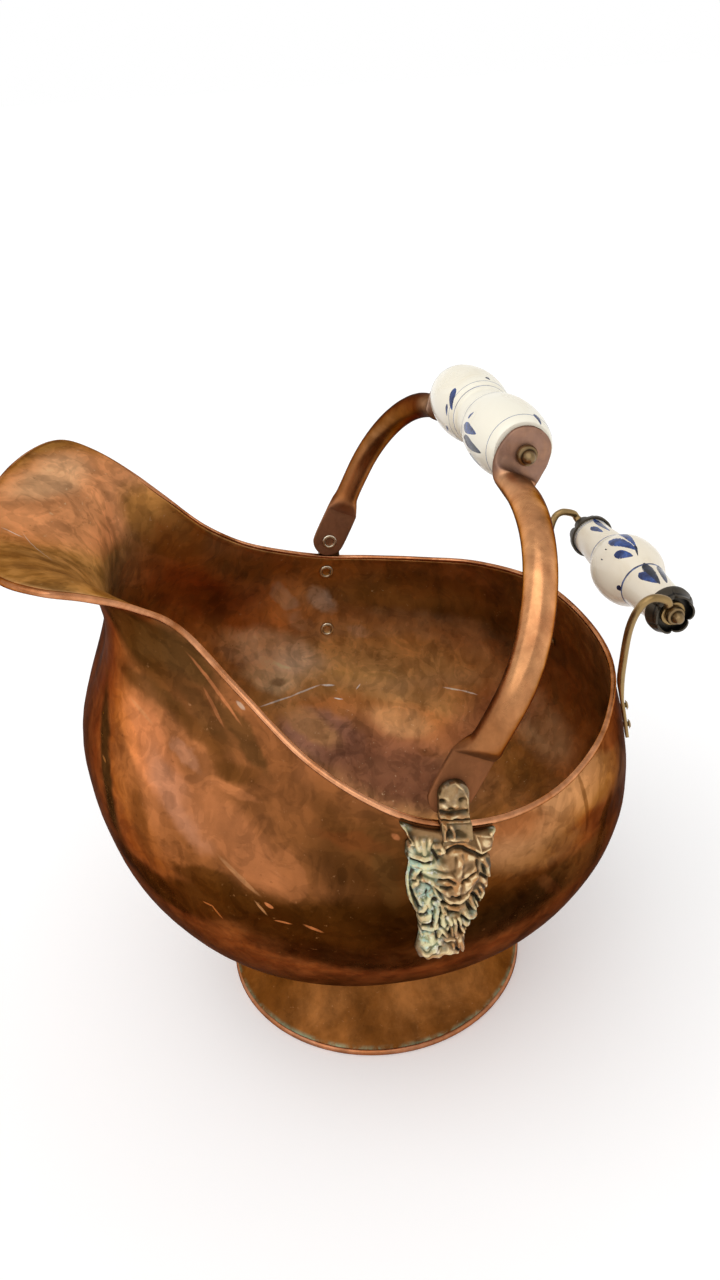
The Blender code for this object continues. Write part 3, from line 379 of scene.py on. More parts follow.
def piece(name, bm, body, look, stands_for=(), smooth=40, origin=None, kept=None):
    """Turn a bmesh into a piece that rides on a body; kept holds values for each of its points."""
    bmesh.ops.recalc_face_normals(bm, faces=bm.faces)
    if bm.calc_volume(signed=True) < 0:
        bmesh.ops.reverse_faces(bm, faces=bm.faces)
    if origin is not None:
        bmesh.ops.translate(bm, verts=bm.verts, vec=-origin)
    mesh = bpy.data.meshes.new(name)
    bm.to_mesh(mesh)
    bm.free()
    mesh.shade_smooth()
    mesh.set_sharp_from_angle(angle=math.radians(smooth))
    for key, values in (kept or {}).items():
        mesh.attributes.new(key, "FLOAT", "POINT").data.foreach_set("value", values)
    obj = add_object(name, mesh)
    if origin is not None:
        obj.location = origin
    mesh.materials.append(look)
    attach(obj, body)
    if stands_for:
        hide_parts(*stands_for)
    return obj


def dress(node, look):
    """Give one of the frame's own parts a look."""
    materials = frame["nodes"][node].data.materials
    materials.clear()
    materials.append(look)


def mirrored(rings, side):
    return [[Vector((p.x, side * p.y, p.z)) for p in ring] for ring in rings]


# Materials


class Look:
    """A material whose nodes are made by short calls. Each call returns a socket to link on."""

    def __init__(self, name):
        self.material = bpy.data.materials.new(name)
        self.material.use_nodes = True
        self.tree = self.material.node_tree
        self.shader = self.tree.nodes["Principled BSDF"]
        self.place = self.node("ShaderNodeTexCoord").outputs["Object"]

    def node(self, kind, links=None, **values):
        """Node of a kind with its settings; links feed its inputs with sockets or values."""
        made = self.tree.nodes.new(kind)
        for key, value in values.items():
            setattr(made, key, value)
        for key, value in (links or {}).items():
            self.feed(made.inputs[key], value)
        return made

    def feed(self, socket, value):
        if isinstance(value, bpy.types.NodeSocket):
            self.tree.links.new(value, socket)
        elif isinstance(value, tuple) and len(value) == 3 and socket.type == "RGBA":
            socket.default_value = (*value, 1.0)
        else:
            socket.default_value = value

    def noise(self, scale, detail=4.0, rough=0.55, warp=0.0, stretch=None):
        place = self.place
        if stretch:
            place = self.node("ShaderNodeMapping", {0: place, 3: stretch}).outputs[0]
        links = {"Vector": place, "Scale": scale, "Detail": detail, "Roughness": rough}
        links["Distortion"] = warp
        return self.node("ShaderNodeTexNoise", links).outputs["Fac"]

    def span(self, value, low, high, to_low=0.0, to_high=1.0):
        """Carry a value from one range to another with soft ends."""
        links = {0: value, 1: low, 2: high, 3: to_low, 4: to_high}
        return self.node("ShaderNodeMapRange", links, interpolation_type="SMOOTHSTEP").outputs[0]

    def sum(self, operation, a, b=0.0, clamp=False):
        return self.node("ShaderNodeMath", {0: a, 1: b}, operation=operation, use_clamp=clamp).outputs[0]

    def mix(self, share, a, b, kind="MIX"):
        made = self.node("ShaderNodeMix", data_type="RGBA", blend_type=kind)
        self.feed(made.inputs[0], share)
        self.feed(made.inputs[6], a)
        self.feed(made.inputs[7], b)
        return made.outputs[2]

    def axis(self, index):
        return self.node("ShaderNodeSeparateXYZ", {0: self.place}).outputs[index]

    def value(self, name):
        """Value that the mesh keeps for each of its points under a name."""
        return self.node("ShaderNodeAttribute", attribute_name=name).outputs["Fac"]

    def warped(self, *waves):
        """Place pushed about by noises of (scale, reach), for ragged edges."""
        place = self.place
        for scale, reach in waves:
            links = {"Vector": self.place, "Scale": scale, "Detail": 4.0, "Roughness": 0.6}
            made = self.node("ShaderNodeTexNoise", links)
            push = self.step("SUBTRACT", {0: made.outputs["Color"], 1: (0.5, 0.5, 0.5)})
            push = self.step("SCALE", {0: push, "Scale": reach})
            place = self.step("ADD", {0: place, 1: push})
        return place

    def step(self, operation, links):
        return self.node("ShaderNodeVectorMath", links, operation=operation).outputs[0]

    def patch(self, place, middle, turn, sizes, edge):
        """Share of an oblong patch; edge is the half width of its soft border as a share."""
        links = {0: place, 1: middle, 2: turn, 3: sizes}
        made = self.node("ShaderNodeMapping", links, vector_type="TEXTURE")
        gap = self.node("ShaderNodeVectorMath", {0: made.outputs[0]}, operation="LENGTH").outputs["Value"]
        return self.span(gap, 1 + edge, 1 - edge)

    def shade(self, colour, value):
        return self.node("ShaderNodeHueSaturation", {"Color": colour, "Value": value}).outputs[0]

    def grey(self, colour):
        return self.node("ShaderNodeRGBToBW", {0: colour}).outputs[0]

    def bump(self, height, distance, strength=1.0, normal=None):
        made = self.node("ShaderNodeBump", {"Height": height, "Distance": distance, "Strength": strength})
        if normal is not None:
            self.feed(made.inputs["Normal"], normal)
        return made.outputs["Normal"]

    def close(self, colour=None, rough=None, normal=None, **constants):
        if colour is not None:
            self.feed(self.shader.inputs["Base Color"], colour)
        if rough is not None:
            self.feed(self.shader.inputs["Roughness"], rough)
        if normal is not None:
            self.feed(self.shader.inputs["Normal"], normal)
        for key, value in constants.items():
            self.feed(self.shader.inputs[key.replace("_", " ")], value)
        return self.material


def linear(text):
    """Linear colour from a six-digit hexadecimal one."""
    parts = [int(text[k:k + 2], 16) / 255 for k in (0, 2, 4)]
    return tuple(c / 12.92 if c <= 0.04045 else ((c + 0.055) / 1.055) ** 2.4 for c in parts)


# Tones of old copper as they look under plain light
TONES = {
    # The darkest tone serves both for dark specks and for painted shade.
    "soot": "2c1604",
    "umber": "46270b",
    "bark": "5e3816",
    "olive": "56391b",
    "rust": "703a1a",
    "brown": "87522c",
    "copper": "a3653c",
    "orange": "c67a4b",
    "pink": "b57c5c",
    "tan": "bb8558",
    "gold": "9a5820",
    "grey": "a08a78",
    "pale": "e0d2bc",
    "glow": "e2a074",
    "green": "74866c",
    "flame": "d4814a",
}
# Patches of tarnish and wear, and of painted highlight, reflection and shade, as they lie under pixels.
# Each row: tone, amount, soft edge, half width in pixels, then the pixels of the two ends.
OUTSIDE_WEAR_AND_PAINTED_LIGHT = (
    ("bark", 0.80, 0.50, 46, 300, 860, 560, 900),
    ("umber", 0.95, 0.35, 44, 225, 930, 505, 932),
    ("umber", 0.80, 0.40, 20, 120, 850, 190, 915),
    ("soot", 0.85, 0.50, 26, 290, 960, 450, 962),
    ("soot", 0.55, 0.45, 30, 340, 880, 395, 940),
    ("olive", 0.60, 0.50, 12, 380, 840, 396, 900),
    ("6a4a2a", 0.70, 0.40, 26, 560, 880, 600, 850),
    ("4e3a20", 0.90, 0.40, 14, 97, 702, 112, 830),
    ("olive", 0.92, 0.28, 36, 122, 622, 186, 668),
    ("bark", 0.75, 0.35, 20, 150, 672, 225, 735),
    ("brown", 0.80, 0.40, 24, 196, 700, 300, 815),
    ("olive", 0.70, 0.30, 9, 218, 700, 262, 768),
    ("orange", 0.95, 0.28, 26, 127, 712, 172, 790),
    ("olive", 0.60, 0.45, 11, 122, 668, 178, 716),
    ("bark", 0.62, 0.40, 11, 172, 714, 222, 745),
    ("olive", 0.55, 0.45, 10, 186, 690, 226, 738),
    ("bark", 0.60, 0.40, 9, 206, 744, 238, 772),
    ("bark", 0.65, 0.40, 10, 224, 764, 250, 775),
    ("pink", 0.55, 0.30, 7, 176, 742, 196, 764),
    ("copper", 0.60, 0.25, 6, 214, 776, 250, 800),
    ("tan", 0.35, 0.20, 2.4, 132, 700, 150, 722),
    ("orange", 0.40, 0.20, 2.0, 205, 690, 222, 724),
    ("flame", 0.60, 0.35, 10, 124, 720, 134, 756),
    ("pink", 0.70, 0.40, 20, 160, 770, 192, 826),
    ("copper", 0.85, 0.30, 24, 196, 800, 262, 874),
    ("bark", 0.90, 0.26, 25, 150, 888, 232, 908),
    ("bark", 0.80, 0.26, 15, 186, 872, 226, 884),
    ("bark", 0.60, 0.45, 14, 134, 800, 150, 860),
    ("copper", 0.35, 0.12, 17, 284, 868, 290, 888),
    ("tan", 0.55, 0.25, 3, 222, 860, 256, 893),
    ("rust", 0.45, 0.35, 10, 330, 838, 382, 848),
    ("orange", 0.55, 0.25, 2.0, 192, 657, 238, 719),
    ("pale", 0.30, 0.30, 2.2, 238, 703, 243, 708),
    ("orange", 0.85, 0.25, 1.2, 204, 902, 212, 906),
    ("orange", 0.80, 0.25, 1.3, 212, 906, 222, 918),
    ("orange", 0.90, 0.20, 2.6, 267, 904, 271, 907),
    ("tan", 0.80, 0.25, 1.6, 256, 902, 266, 914),
    ("orange", 0.85, 0.25, 1.4, 276, 921, 290, 924),
    ("orange", 0.75, 0.30, 2.0, 306, 926, 321, 932),
    ("orange", 0.60, 0.35, 3.0, 394, 836, 397, 838),
    ("tan", 0.60, 0.30, 2.0, 103, 757, 105, 761),
    ("pink", 0.45, 0.35, 3.0, 94, 668, 98, 690),
    ("a87850", 0.80, 0.45, 24, 505, 862, 574, 842),
    ("tan", 0.92, 0.30, 24, 590, 752, 610, 806),
    ("tan", 0.60, 0.35, 18, 548, 826, 590, 800),
    ("bark", 0.55, 0.30, 3, 583, 776, 590, 832),
    ("bark", 0.80, 0.35, 8, 610, 795, 598, 845),
    ("copper", 0.55, 0.40, 7, 540, 884, 556, 892),
    ("32210f", 0.80, 0.50, 30, 465, 938, 540, 902),
    ("8a6648", 0.50, 0.40, 8, 622, 735, 618, 790),
)
# Inside too, the patches hold painted shade and painted highlights as well as tarnish and stains.
INSIDE_WEAR_AND_PAINTED_LIGHT = (
    ("a25230", 0.95, 0.25, 64, 24, 516, 112, 486),
    ("tan", 0.35, 0.5, 22, 30, 490, 70, 470),
    ("bark", 0.90, 0.25, 28, 142, 512, 190, 545),
    ("brown", 0.90, 0.12, 19, 88, 574, 150, 566),
    ("rust", 0.85, 0.35, 24, 160, 575, 215, 600),
    ("bark", 0.70, 0.40, 13, 160, 588, 225, 604),
    ("bark", 0.75, 0.40, 12, 215, 560, 300, 574),
    ("rust", 0.70, 0.40, 26, 235, 605, 300, 620),
    ("copper", 0.60, 0.50, 26, 262, 596, 330, 612),
    ("umber", 0.90, 0.35, 26, 350, 585, 520, 606),
    ("soot", 0.60, 0.50, 20, 440, 606, 570, 650),
    ("tan", 0.50, 0.50, 32, 300, 645, 480, 650),
    ("gold", 0.50, 0.35, 24, 300, 656, 460, 656),
    ("glow", 0.75, 0.45, 20, 236, 640, 300, 658),
    ("tan", 0.70, 0.40, 12, 252, 674, 288, 682),
    ("rust", 0.80, 0.22, 30, 300, 722, 440, 735),
    ("70483a", 0.80, 0.25, 22, 300, 730, 346, 748),
    ("4a2a1c", 0.85, 0.50, 40, 335, 752, 450, 784),
    ("brown", 0.60, 0.40, 12, 290, 712, 326, 738),
    ("3c2216", 0.70, 0.40, 26, 372, 768, 440, 792),
    ("copper", 0.35, 0.40, 14, 380, 716, 420, 724),
    ("tan", 0.65, 0.40, 26, 520, 700, 560, 740),
    ("grey", 0.60, 0.30, 9, 276, 588, 288, 600),
    ("grey", 0.60, 0.30, 11, 314, 590, 328, 602),
    ("grey", 0.35, 0.40, 9, 292, 616, 304, 622),
    ("grey", 0.30, 0.40, 6, 352, 628, 366, 632),
    ("soot", 0.55, 0.40, 4, 274, 679, 288, 678),
    ("soot", 0.40, 0.40, 5, 325, 671, 335, 673),
    ("soot", 0.40, 0.40, 4, 420, 752, 436, 756),
    ("5a3020", 0.60, 0.50, 26, 470, 730, 520, 700),
    ("pale", 0.75, 0.30, 0.8, 261, 706, 291, 696),
    ("pale", 0.70, 0.30, 0.8, 290, 696, 318, 685),
    ("pale", 0.95, 0.30, 1.0, 322, 684.5, 333, 685),
    ("pale", 0.90, 0.30, 0.8, 356, 689, 360, 684),
    ("pale", 0.80, 0.30, 0.7, 334, 698, 342, 699),
    ("pale", 0.70, 0.30, 0.8, 445, 687, 462, 690),
    ("pale", 0.80, 0.30, 0.8, 462, 690, 477, 694),
    ("pale", 0.60, 0.30, 0.7, 2, 531, 22, 540),
    ("pale", 0.50, 0.30, 0.6, 22, 540, 50, 564),
)
# A patch narrower than this many pixels is a scratch or a chip and keeps a fine edge.
FINE_PATCH = 4
PATCH_DEPTH_SHARE = 0.5
# Share of the light inside the bowl that comes from its own walls. The inner tones are raised to suit.
GATHER_SHARE = 0.80
GRAZING_TINT = (0.20, 0.17, 0.15)
MOTTLE = 0.09
PLAIN_MOTTLE_SHARE = 0.35
# Painted shade: the copper is darkened towards its outlines as the camera sees them, in place of dark
# reflections at grazing angles.
EDGE_PAINTED_SHADE = 0.62
# The middle band of a noise, where most of its values lie
BAND = (0.3, 0.7)


def patch_frame(x0, y0, x1, y1, half):
    """Middle, turn and half sizes of the patch that lies on the bowl between two pixels."""
    start, _ = seen(WALL, x0, y0)
    end, _ = seen(WALL, x1, y1)
    middle, out = seen(WALL, (x0 + x1) / 2, (y0 + y1) / 2)
    along = end - start
    width = pixel_length(middle, half)
    ahead = along.normalized()
    side = out.cross(ahead).normalized()
    turn = Matrix((ahead, side, ahead.cross(side))).transposed().to_euler("XYZ")
    return middle, turn, (along.length / 2 + width, width, max(width, along.length * PATCH_DEPTH_SHARE))


def add_patches(look, colour, patches, toned):
    """Lay the patches over a colour in their order."""
    ragged, near = look.warped((24.0, 0.016), (95.0, 0.006)), look.warped((160.0, 0.0012))
    for tone, amount, edge, half, *ends in patches:
        place = near if half < FINE_PATCH else ragged
        share = look.patch(place, *patch_frame(*ends, half), edge)
        colour = look.mix(look.sum("MULTIPLY", share, amount), colour, toned(tone))
    return colour


def copper_look(name, dark, light, smooth, dry, patches=(), cloud=12.0, vary=0.22, speck=0.35,
                dull=None, green=None, gather=0.0):
    """Worn copper: clouds of tarnish, named patches of wear and of painted highlight and shade, streaks,
    painted shade towards its outlines, fine scratches and specks.

    smooth and dry are the roughness of bright and of dark copper; vary and speck are the amounts of
    streaks and specks. dull is the tone of flattened ends, green the heights between which verdigris
    fades, and gather the share of light that a hollow gets from its own walls.
    """
    look = Look(name)

    def toned(text):
        return tuple(c / (1 - gather + gather * c) for c in linear(TONES.get(text, text)))

    broad = look.noise(cloud, 5.0, 0.6, 0.7)
    fine = look.noise(cloud * 7, 6.0, 0.65, 0.3)
    streak = look.noise(cloud * 3, 4.0, 0.6, 0.2, (1.0, 1.0, 0.22))
    scratch = look.noise(cloud * 40, 3.0, 0.6, 0.0, (1.0, 1.0, 0.05))
    colour = look.mix(look.span(broad, 0.32, 0.68), toned(dark), toned(light))
    if patches:
        colour = add_patches(look, colour, patches, toned)
    if dull:
        share = look.sum("MULTIPLY", look.value("dull"), look.span(fine, 0.2, 0.6, 0.75, 1.0))
        colour = look.mix(share, colour, toned(dull))
        colour = look.mix(look.sum("MULTIPLY", look.value("low"), 0.85), colour, toned("brown"))
    if green:
        low, high = green
        near_floor = look.span(look.axis(2), high, low, 0.0, 0.75)
        share = look.sum("MULTIPLY", near_floor, look.span(fine, 0.36, 0.60))
        colour = look.mix(share, colour, toned("green"))
    level = look.span(streak, *BAND, 1 - vary, 1 + vary)
    level = look.sum("ADD", level, look.span(fine, *BAND, -vary / 2, vary / 2))
    spread = MOTTLE if patches else MOTTLE * PLAIN_MOTTLE_SHARE
    mottle = look.span(look.noise(cloud * 2.2, 4.0, 0.55, 1.2), 0.47, 0.53, -spread, spread)
    small = look.span(look.noise(cloud * 6, 3.0, 0.5, 1.6), 0.46, 0.54, -spread, spread)
    level = look.sum("ADD", level, look.sum("ADD", mottle, small))
    colour = look.shade(colour, level)
    # Painted shade: darker towards the outlines as seen.
    facing = look.node("ShaderNodeLayerWeight", {"Blend": 0.5}).outputs["Facing"]
    colour = look.mix(look.span(facing, 0.60, 0.95, 0.0, EDGE_PAINTED_SHADE * (1 - gather)), colour, toned("soot"))
    flecks = look.noise(cloud * 26, 4.0, 0.7)
    colour = look.mix(look.span(flecks, 0.63, 0.75, 0.0, speck), colour, toned("soot"))
    colour = look.mix(look.span(flecks, 0.36, 0.27, 0.0, speck), colour, toned("tan"))
    rough = look.span(look.grey(colour), 0.02, 0.30, dry, smooth)
    rough = look.sum("ADD", rough, look.span(fine, *BAND, -0.06, 0.06))
    if dull:
        rough = look.sum("ADD", rough, look.sum("MULTIPLY", look.value("dull"), 0.3))
    normal = look.bump(look.noise(16.0, 2.0, 0.5), 0.0012, 0.6)
    normal = look.bump(scratch, 0.00006, 0.35, normal)
    normal = look.bump(fine, 0.00012, 0.4, normal)
    return look.close(colour, rough, normal, Metallic=1.0, Specular_Tint=GRAZING_TINT)


def metal_look(name, dark, light, smooth, dry, scale=60.0, depth=0.00015, metal=1.0):
    """Plain worn metal with darker hollows."""
    look = Look(name)
    broad = look.noise(scale, 5.0, 0.6, 0.4)
    fine = look.noise(scale * 6, 4.0, 0.7)
    hollow = look.node("ShaderNodeNewGeometry").outputs["Pointiness"]
    raised = look.span(hollow, 0.46, 0.53)
    tone = look.sum("ADD", look.span(broad, *BAND, -0.3, 0.3), raised, clamp=True)
    colour = look.mix(tone, linear(dark), linear(light))
    rough = look.span(broad, *BAND, smooth, dry)
    return look.close(colour, rough, look.bump(fine, depth, 0.5), Metallic=metal)


def mask_look(name):
    """Cast brass: darkened in the hollows as painted shade, rubbed and lightened by a painted highlight
    on the ridges, pale and green where it keeps patina.
    """
    look = Look(name)
    broad = look.noise(90.0, 5.0, 0.6, 0.5)
    fine = look.noise(420.0, 4.0, 0.7)
    hollow = look.sum("ADD", look.value("hollow"), look.span(broad, *BAND, -0.10, 0.10))
    # Painted shade: the brass darkens with its depth below the places around it.
    colour = look.mix(look.span(hollow, 0.30, 0.62), linear("9c7850"), linear("5a4022"))
    spots = look.span(look.noise(150.0, 3.0, 0.5, 0.5), 0.44, 0.56)
    # Rubbed wear and painted highlight on the raised places.
    rubbed_and_highlight = look.mix(spots, linear("b98450"), linear("ecd0a0"))
    colour = look.mix(look.span(hollow, 0.36, 0.14, 0.0, 0.85), colour, rubbed_and_highlight)
    crumbs = look.span(look.noise(240.0, 5.0, 0.65, 0.4), 0.30, 0.52)
    patina = look.sum("MULTIPLY", look.value("patina"), crumbs)
    crust = look.mix(look.span(hollow, 0.32, 0.62), linear("dcd8a8"), linear("76845c"))
    green = look.span(look.noise(170.0, 3.0, 0.5, 0.4), 0.50, 0.62)
    chalk = look.span(look.noise(330.0, 4.0, 0.6), 0.55, 0.68)
    crust = look.mix(chalk, look.mix(green, crust, linear("a8c8b4")), linear("f0f4ea"))
    colour = look.mix(look.sum("MULTIPLY", patina, 0.92), colour, crust)
    # Painted shade: near black in the deepest hollows.
    colour = look.mix(look.span(hollow, 0.56, 0.95), colour, linear("2e220e"))
    rough = look.sum("ADD", look.span(broad, *BAND, 0.34, 0.50), look.sum("MULTIPLY", patina, 0.25))
    metal = look.span(patina, 0.05, 0.8, 0.8, 0.1)
    look.feed(look.shader.inputs["Metallic"], metal)
    return look.close(colour, rough, look.bump(fine, 0.00018, 0.6))


def glaze_look(name, pale, warm):
    """Cream glaze with faint warm staining, fine pitting and a clear coat."""
    look = Look(name)
    broad = look.noise(45.0, 4.0, 0.6, 0.5)
    fine = look.noise(900.0, 3.0, 0.6)
    colour = look.mix(look.span(broad, 0.45, 0.8, 0.0, 0.7), linear(pale), linear(warm))
    pits = look.span(look.noise(520.0, 4.0, 0.7), 0.68, 0.76, 0.0, 0.25)
    colour = look.mix(pits, colour, linear("8a7350"))
    rough = look.span(broad, *BAND, 0.16, 0.30)
    return look.close(colour, rough, look.bump(fine, 0.00002, 0.5), Specular_IOR_Level=0.5)


def paint_look(name, deep, thin):
    """Blue brushwork under the glaze, darker where the stroke pooled."""
    look = Look(name)
    pool = look.noise(190.0, 4.0, 0.6, 0.6)
    colour = look.mix(look.span(pool, 0.35, 0.68), linear(deep), linear(thin))
    rough = look.span(pool, *BAND, 0.16, 0.28)
    return look.close(colour, rough, look.bump(pool, 0.00002, 0.4))


# Bowl


def place_at(reach, half_width, height, side):
    """Place on the bowl from its shares of reach, half width and height."""
    length = SPOUT_REACH if reach < 0 else REAR_REACH
    rise = SPOUT_TOP_Z - RIM_LOW_Z
    return [FOOT_X + reach * length, side * half_width * RIM_HALF_WIDTH, RIM_LOW_Z + height * rise]


def station_rows():
    """Azimuth, rim place and neck place right round the bowl."""
    pairs = list(zip(RIM_SHARES, NECK_SHARES))
    full = []
    for (azimuth, *rim), neck in pairs:
        full.append(Vector([azimuth * math.pi] + place_at(*rim, 1) + place_at(*neck, 1)))
    for (azimuth, *rim), neck in pairs[-2:0:-1]:
        full.append(Vector([(2 - azimuth) * math.pi] + place_at(*rim, -1) + place_at(*neck, -1)))
    turn = Vector([TURN] + [0] * (len(full[0]) - 1))
    wrapped = [full[-1] - turn] + full + [full[0] + turn, full[1] + turn]
    rows = []
    for i in range(len(full)):
        for k in range(SPAN_STEPS):
            rows.append(spline(*wrapped[i:i + 4], k / SPAN_STEPS))
    return rows


def lower_point(azimuth, share):
    """Place on the round part of the bowl; share runs from the bottom's middle to the girth."""
    c, s = math.cos(azimuth), math.sin(azimuth)
    girth_z = GIRTH_Z - GIRTH_TILT * c
    end_power = REAR_ROUND_SHARE if c > 0 else FRONT_ROUND_SHARE
    power = SIDE_ROUND_SHARE + (end_power - SIDE_ROUND_SHARE) * c * c
    out = math.sin(share * math.pi / 2) ** (2 / power)
    down = max(math.cos(share * math.pi / 2), 0.0) ** (2 / power)
    x = FOOT_X - BOWL_LEAN * share + BOWL_RADIUS * out * c
    return Vector((x, BOWL_HALF_WIDTH * out * s, girth_z - (girth_z - BOWL_BOTTOM_Z) * down))


def bowl_rings():
    """Rings of places from the bottom's middle up to the rim, and the rim itself."""
    rows = station_rows()
    rim = [Vector(row[1:4]) for row in rows]
    count = len(rows)
    rings = [[] for k in range(LOWER_RINGS + WALL_RINGS + LIP_RINGS)]
    for i, row in enumerate(rows):
        for k in range(1, LOWER_RINGS + 1):
            rings[k - 1].append(lower_point(row[0], k / LOWER_RINGS))
        girth = rings[LOWER_RINGS - 1][-1]
        neck = Vector(row[4:7])
        lower, upper = neck - girth, rim[i] - neck
        middle = (lower.normalized() + upper.normalized()).normalized()
        lip = (2 * upper.normalized() - middle).normalized()
        along = (rim[(i + 1) % count] - rim[i - 1]).normalized()
        square = (lip - along * lip.dot(along)).normalized()
        edge = rim[i] - square * (RIM_BEAD_RADIUS * EDGE_BURY_SHARE)
        upper = edge - neck
        pull = Vector((0, 0, lower.length * START_PULL_SHARE))
        for k in range(1, WALL_RINGS + 1):
            point = hermite(girth, neck, pull, middle * lower.length, k / WALL_RINGS)
            rings[LOWER_RINGS + k - 1].append(point)
        for k in range(1, LIP_RINGS + 1):
            point = hermite(neck, edge, middle * upper.length, lip * upper.length, k / LIP_RINGS)
            rings[LOWER_RINGS + WALL_RINGS + k - 1].append(point)
    return rings, rim


RINGS, RIM = bowl_rings()


def bowl_skin():
    """Outer skin of the bowl, from the point under its middle up to the rim."""
    bm = bmesh.new()
    rows = [[bm.verts.new((FOOT_X, 0, BOWL_BOTTOM_Z))]]
    rows += [[bm.verts.new(point) for point in ring] for ring in RINGS]
    for low, high in zip(rows, rows[1:]):
        join(bm, low, high)
    return bm


WALL = tree_of(bowl_skin())
FAR_OUT = BOWL_RADIUS + SPOUT_REACH


def wall_y(x, z):
    """Half width of the bowl's outer skin at a place on its side, and the wall's normal there."""
    hit, normal, _, _ = WALL.ray_cast(Vector((x, FAR_OUT, z)), Vector((0, -1, 0)))
    return hit.y, normal


def wall_out(azimuth, z):
    """Place and normal on the bowl's outer skin at an azimuth and a height."""
    out = Vector((math.cos(azimuth), math.sin(azimuth), 0))
    hit, normal, _, _ = WALL.ray_cast(Vector((FOOT_X, 0, z)) + out * FAR_OUT, -out)
    return hit, normal


def rim_at_x(x):
    """Place on the near half of the rim at a distance along the bowl."""
    side = [point for point in RIM if point.y > 0]
    for a, b in zip(side, side[1:]):
        if b.x <= x <= a.x:
            return a.lerp(b, (a.x - x) / (a.x - b.x))
    return side[0]


# Shallow dents of the hammered sheet, in two sizes of wave
DENT_DEPTH = 0.0004
DENT_SCALE = 22.0
DENT_RATIO = 2.3
BEAD_SIDES = 14
BEAD_SHARE = 0.93
BEAD_WAVE = 0.04
BEAD_WAVE_SCALE = 90
BOWL_FOLD = 60


def make_bowl(outside, inside):
    """Sheet of the bowl with shallow dents; its edge under the bead stays still."""
    bm = bowl_skin()
    bm.normal_update()
    still = set(list(bm.verts)[-3 * len(RINGS[-1]):])
    moves = {}
    for vert in bm.verts:
        wave = noise.noise(vert.co * DENT_SCALE) + 0.5 * noise.noise(vert.co * DENT_SCALE * DENT_RATIO)
        moves[vert] = vert.normal * (wave * DENT_DEPTH)
    for vert, move in moves.items():
        if vert not in still:
            vert.co = vert.co - move
    obj = piece("copper_bowl", bm, "body", outside, ("bowl",), BOWL_FOLD)
    obj.data.materials.append(inside)
    shell = obj.modifiers.new("sheet", "SOLIDIFY")
    shell.thickness = SHEET
    shell.offset = -1
    shell.use_even_offset = True
    shell.material_offset = 1


def make_rim(look):
    """Bead that rolls round the rim, a little uneven."""
    count = len(RIM)
    rings = []
    for i, point in enumerate(RIM):
        ahead = (RIM[(i + 1) % count] - RIM[i - 1]).normalized()
        wide = ahead.cross(Vector((0, 0, 1))).normalized()
        up = wide.cross(ahead)
        radius = RIM_BEAD_RADIUS * (BEAD_SHARE + BEAD_WAVE * noise.noise(point * BEAD_WAVE_SCALE))
        ring = []
        for k in range(BEAD_SIDES):
            angle = TURN * k / BEAD_SIDES
            ring.append(point + wide * (radius * math.cos(angle)) + up * (radius * math.sin(angle)))
        rings.append(ring)
    piece("rolled_rim", skin(rings, wrap=True), "body", look, ("rim_bead",))


# Foot
FOOT_SIDES = 160
FOOT_RINGS = 14
FOOT_BEAD_SIDES = 16
FOOT_GREEN = (2.1 * FOOT_BEAD_RADIUS, 3.3 * FOOT_BEAD_RADIUS)


def bowl_under(radius, angle):
    """Height of the bowl's outer skin over a place of the foot."""
    return WALL.ray_cast(around(radius, angle, 0, FOOT_X), Vector((0, 0, 1)))[0].z


def make_foot(look, bead_look):
    """Flared skirt up to the bowl's underside, and the bead that it stands on."""
    bead_mid = FOOT_RADIUS - FOOT_BEAD_RADIUS
    flare = bead_mid - FOOT_TOP_RADIUS
    base_z = 2 * FOOT_BEAD_RADIUS + GAP
    rings = []
    for inner in (False, True):
        column = []
        shift = FOOT_SHEET / 2 if inner else -FOOT_SHEET / 2
        for k in range(FOOT_RINGS + 1):
            share = k / FOOT_RINGS
            radius = FOOT_TOP_RADIUS + flare * (1 - share) ** FOOT_FLARE_SHARE - shift
            ring = []
            for n in range(FOOT_SIDES):
                angle = TURN * n / FOOT_SIDES
                top = bowl_under(radius if share == 1 else FOOT_TOP_RADIUS - shift, angle) - GAP
                z = blend(base_z, top, share)
                ring.append(around(radius, angle, z, FOOT_X))
            column.append(ring)
        rings.append(column)
    piece("flared_foot", skin(rings[0] + rings[1][::-1], wrap=True), "body", look, ("foot_skirt",))
    profile = []
    for k in range(FOOT_BEAD_SIDES):
        angle = TURN * (k + 0.5) / FOOT_BEAD_SIDES
        rise = FOOT_BEAD_RADIUS * (1 + math.sin(angle))
        profile.append((bead_mid + FOOT_BEAD_RADIUS * math.cos(angle), rise))
    place = Matrix.Translation((FOOT_X, 0, 0))
    piece("foot_roll", turned(profile, FOOT_SIDES, place), "body", bead_look, ("foot_bead",))


# Bail
ARM_SIDES = 32
TAB_INNER = RIM_HALF_WIDTH - RIM_BEAD_RADIUS - GAP
ARM_PLATE_MID = TAB_INNER - GAP - ARM_PLATE / 2
HEAD_PLATE_MID = BAIL_GRIP_HALF + GAP + GRIP_RUN + ARM_PLATE / 2
FLAT_ROUND_SHARE = 7.0
BAIL_FRAME = Matrix.Translation(PIVOT) @ Matrix.Rotation(BAIL_LEAN, 4, "Y")
# Sections along an arm: across its round flat ends, where the tube swells out of the foot, round its
# long bend, and where it flattens into the head
PLATE_SHARES = (0.0, 0.55, 0.85, 0.985)
FOOT_SHARES = (0.25, 0.6, 1.0)
FOOT_THICK_GAIN = 1.15
FOOT_ROUND_GAIN = 1.3
BEND_STEPS = 9
HEAD_SHARES = (0.34, 0.67, 1.0)
NECK_WIDE = ARM_HEAD_RADIUS * 0.72
NECK_THICK = ARM_TUBE_RADIUS * 0.8
ARM_STEPS = 4
ARM_FOLD = 50


